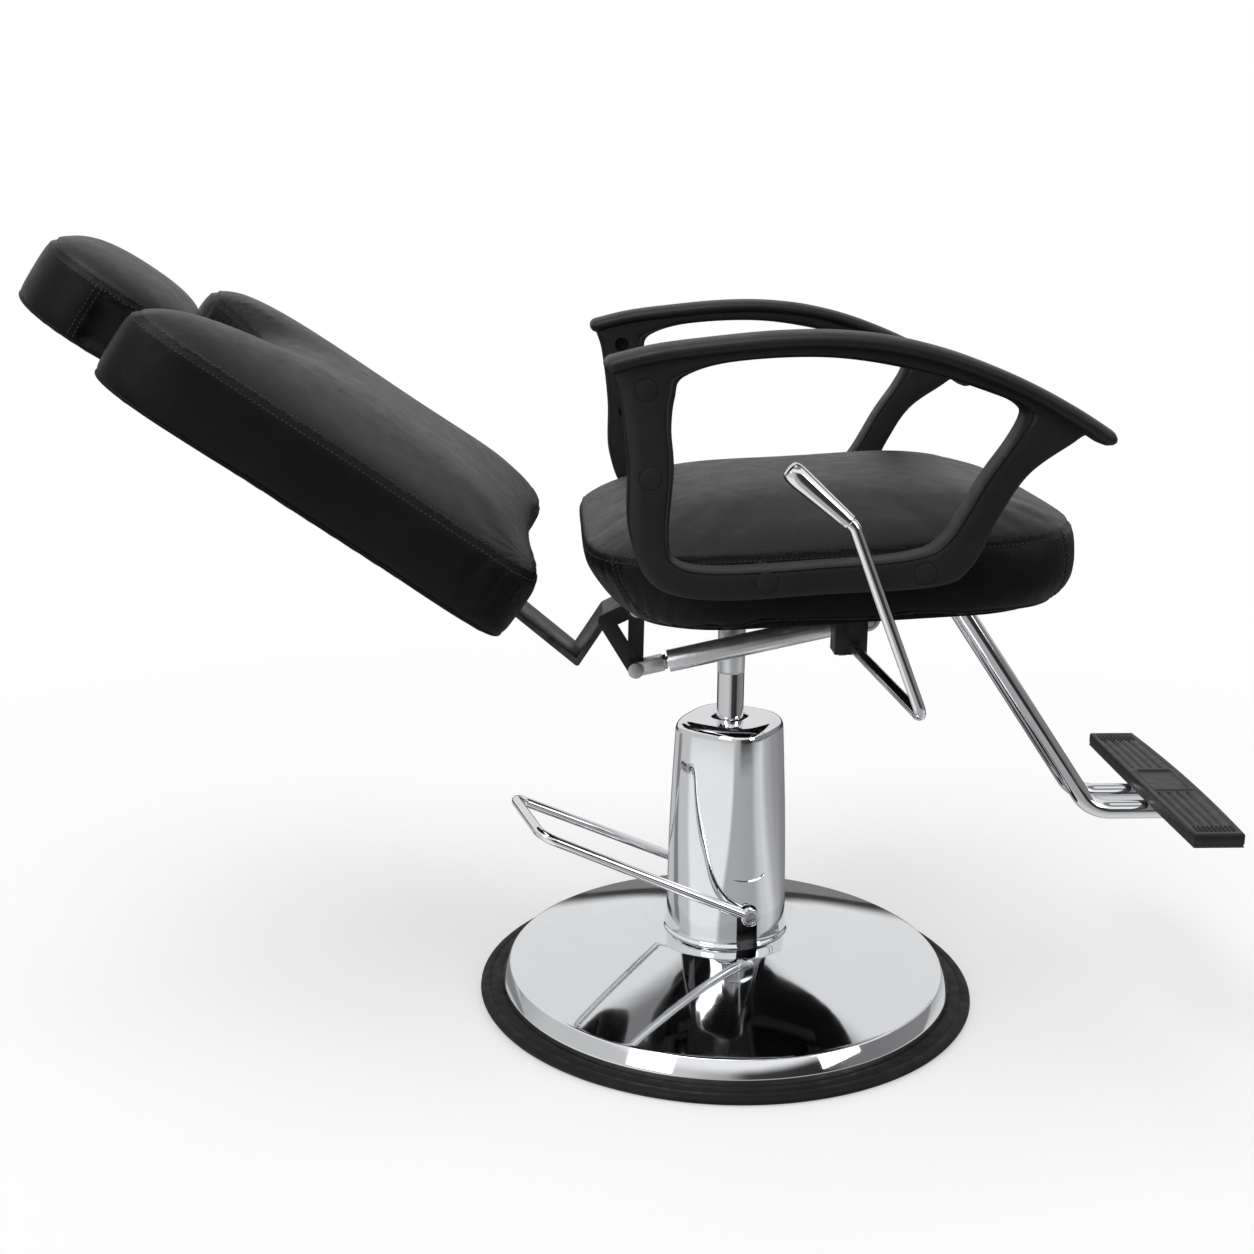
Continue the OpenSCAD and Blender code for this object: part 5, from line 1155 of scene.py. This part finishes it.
def ring_of_light(n, vector, stops):
    """Brightness by compass angle about Z, eased between its stops."""
    xyz = n.add("SeparateXYZ", {"Vector": vector}).outputs
    turn = n.math("ARCTAN2", xyz["Y"], xyz["X"])
    ramp = n.add("ValToRGB", {"Fac": n.spread(turn, 0, 1, -math.pi, math.pi)})
    ramp.color_ramp.interpolation = "EASE"
    marks = ramp.color_ramp.elements
    while len(marks) < len(stops):
        marks.new(0.5)
    for k, (degrees, _) in enumerate(stops):
        marks[k].position = (degrees + 180) / 360
    for k, (_, value) in enumerate(stops):
        marks[k].color = (value, value, value, 1)
    return ramp.outputs["Color"]


def eased(n, value, f0, f1, t0=0.0, t1=1.0):
    return n.add("MapRange", {"Value": value, "From Min": f0, "From Max": f1, "To Min": t0,
                              "To Max": t1}, interpolation_type="SMOOTHSTEP").outputs["Result"]


def colour_mix(n, share, a, b):
    return n.add("Mix", {0: share, 6: a, 7: b}, data_type="RGBA").outputs[2]


def shader_mix(n, share, a, b):
    return n.add("MixShader", {0: share, 1: a, 2: b}).outputs[0]


def glow(n, kind, strength=1.0, colour=(1, 1, 1, 1)):
    return n.add(kind, {"Color": colour, "Strength": strength}).outputs[0]


def by_ray(n, output, rest, mirrored, seen):
    """Surface that the camera, gloss and all other rays each meet with a shader of their own."""
    path = n.add("LightPath").outputs
    direct = n.math("MAXIMUM", path["Is Camera Ray"], path["Is Transmission Ray"])
    shader = shader_mix(n, direct, shader_mix(n, path["Is Glossy Ray"], rest, mirrored), seen)
    n.tree.links.new(shader, n.add(output).inputs["Surface"])


def make_floor(radius=40, sides=64):
    """Pale floor that keeps the shadow and fades to white."""
    n = Nodes(bpy.data.materials.new("floor_white"))
    far = n.add("VectorMath", {0: n.coords()}, operation="LENGTH").outputs["Value"]
    diffuse = n.add("BsdfDiffuse", {"Color": (0.60, 0.60, 0.60, 1)}).outputs[0]
    lit = n.add("AddShader", {0: diffuse, 1: glow(n, "Emission", 0.46)}).outputs[0]
    mirrored = colour_mix(n, eased(n, far, 1.25, 1.75), ring_of_light(n, n.coords(), NEAR_LIGHT),
                          ring_of_light(n, n.coords(), FAR_LIGHT))
    by_ray(n, "OutputMaterial", diffuse, glow(n, "Emission", colour=mirrored),
           shader_mix(n, n.spread(far, 0, 1, 0.75, 1.9), lit, glow(n, "Emission")))
    me = bpy.data.meshes.new("floor")
    edge = [(*p, 0) for p in radius * circle((1, 0), (0, 1), sides)]
    me.from_pydata([(0, 0, 0)] + edge, [], [(0, 1 + i, 1 + (i + 1) % sides) for i in range(sides)])
    me.materials.append(n.owner)
    placed("floor", me)


def make_world():
    """White surroundings. Chrome mirrors a darker horizon and a dark gap between bright areas."""
    world = bpy.data.worlds.new("studio")
    bpy.context.scene.world = world
    n = Nodes(world)
    where = n.add("TexCoord").outputs["Generated"]
    xyz = n.add("SeparateXYZ", {"Vector": where}).outputs
    gap = n.math("SUBTRACT", eased(n, xyz["Z"], 0.72, 0.79), eased(n, xyz["Z"], 0.88, 0.94))
    above = n.math("MULTIPLY", eased(n, xyz["Y"], -0.6, 0.7, 1.0, 0.84),
                   n.math("SUBTRACT", 1.0, n.math("MULTIPLY", gap, 0.75)))
    sky = n.add("CombineColor", {"Red": above, "Green": above, "Blue": above}).outputs["Color"]
    rise = n.math("ADD", xyz["Z"], eased(n, xyz["Y"], 0.0, 0.8, -0.30, 0.06))
    shade = colour_mix(n, eased(n, rise, 0.05, 0.14), ring_of_light(n, where, FAR_LIGHT), sky)
    by_ray(n, "OutputWorld", glow(n, "Background", 0.42), glow(n, "Background", colour=shade),
           glow(n, "Background"))


def make_lamps():
    for name, at, aim, size, power in (
            ("key", (-0.6, -0.5, 2.7), (0.0, 0.0, 0.5), 1.7, 30.0),
            ("front", (-2.2, -2.6, 1.7), (0, 0, 0.5), 1.4, 16.0),
            ("side", (2.4, -1.9, 1.5), (0.1, 0, 0.5), 1.2, 14.0),
            ("rear", (0.6, 2.4, 2.2), (0, 0, 0.6), 1.6, 18.0)):
        data = bpy.data.lights.new(name, "AREA")
        data.shape, data.size, data.energy = "SQUARE", size, power
        lamp = placed(name, data)
        lamp.location = at
        lamp.visible_glossy = name != "rear"
        lamp.rotation_mode = "QUATERNION"
        lamp.rotation_quaternion = (Vector(aim) - Vector(at)).to_track_quat("-Z", "Y")


# Rounds of the CAD pieces' edges, in metres, where they aren't EDGE
EDGE = 0.0005
EDGES = {"back_strap": 0.0009, "lever_block": 0.0012, "hinge_bracket": 0.0008,
         "footrest_clamp": 0.0009, "arm_plugs": 0.0009, "cylinder_clevis": 0.0009,
         "cylinder_tube": 0.0009, "rod_wiper": 0.0002, "head_screws": 0.0002,
         "clevis_nut": 0.0004, "pump_plunger": 0.0003}


def dress_nodes(by_slot):
    """Materials, smooth shading and small edge rounds for the CAD pieces that stay."""
    for part in frame["record"]["subparts"]:
        o = frame["nodes"][part["node"]]
        o.data.materials.clear()
        o.data.materials.append(by_slot[part["material_slot"]])
        for p in o.data.polygons:
            p.material_index = 0
        smooth(o, 30)
        if o.hide_render:
            continue
        o.modifiers.new("join", "WELD").merge_threshold = 0.00001
        m = o.modifiers.new("edges", "BEVEL")
        m.width, m.segments = EDGES.get(part["node"], EDGE), 2
        m.limit_method, m.angle_limit = "ANGLE", math.radians(40)
        m.harden_normals = False


def main():
    make_camera()
    # Two copies of one black leather. The tops keep the lighter one. The darker, less glossy copy on
    # the side bands, welt and piping is painted shade.
    leather_top = leather("leather_top")
    shaded_leather = leather("shaded_leather", 0.0022, 0.005, (0.34, 0.46), 0.12)
    thread = moulded_plastic("thread", 0.035, (0.5, 0.65), 0.0002)
    slots = {
        "rubber_black": rubber("black_rubber"), "chrome_plate": plated("chrome"),
        "zinc_steel": satin_metal("zinc_steel", (0.52, 0.53, 0.55)),
        "tube_silver": satin_metal("tube_silver", (0.76, 0.77, 0.78), (0.27, 0.33), 0.85, 0.08),
        "black_steel": painted_steel("black_steel"), "plywood": plywood("plywood"),
        "black_leather": leather_top, "arm_plastic": moulded_plastic("arm_plastic"),
        "plug_plastic": moulded_plastic("plug_plastic", 0.0075, (0.5, 0.62)), **other_materials()}
    for make in (make_seat, make_back, make_headrest):
        make(leather_top, shaded_leather, thread)
    for side in (-1, 1):
        make_arm(side, slots["arm_plastic"])
    make_floor_ring(slots["rubber_black"])
    for make in (make_dish, make_cover, make_tubes, make_pedal, make_lever):
        make(slots["chrome_plate"])
    make_foot_pad(rubber("foot_rubber_black", 0.0085, (0.38, 0.5), 0.42))
    dress_nodes(slots)
    make_floor()
    make_world()
    make_lamps()
    bpy.context.scene.view_settings.view_transform = "Standard"


main()
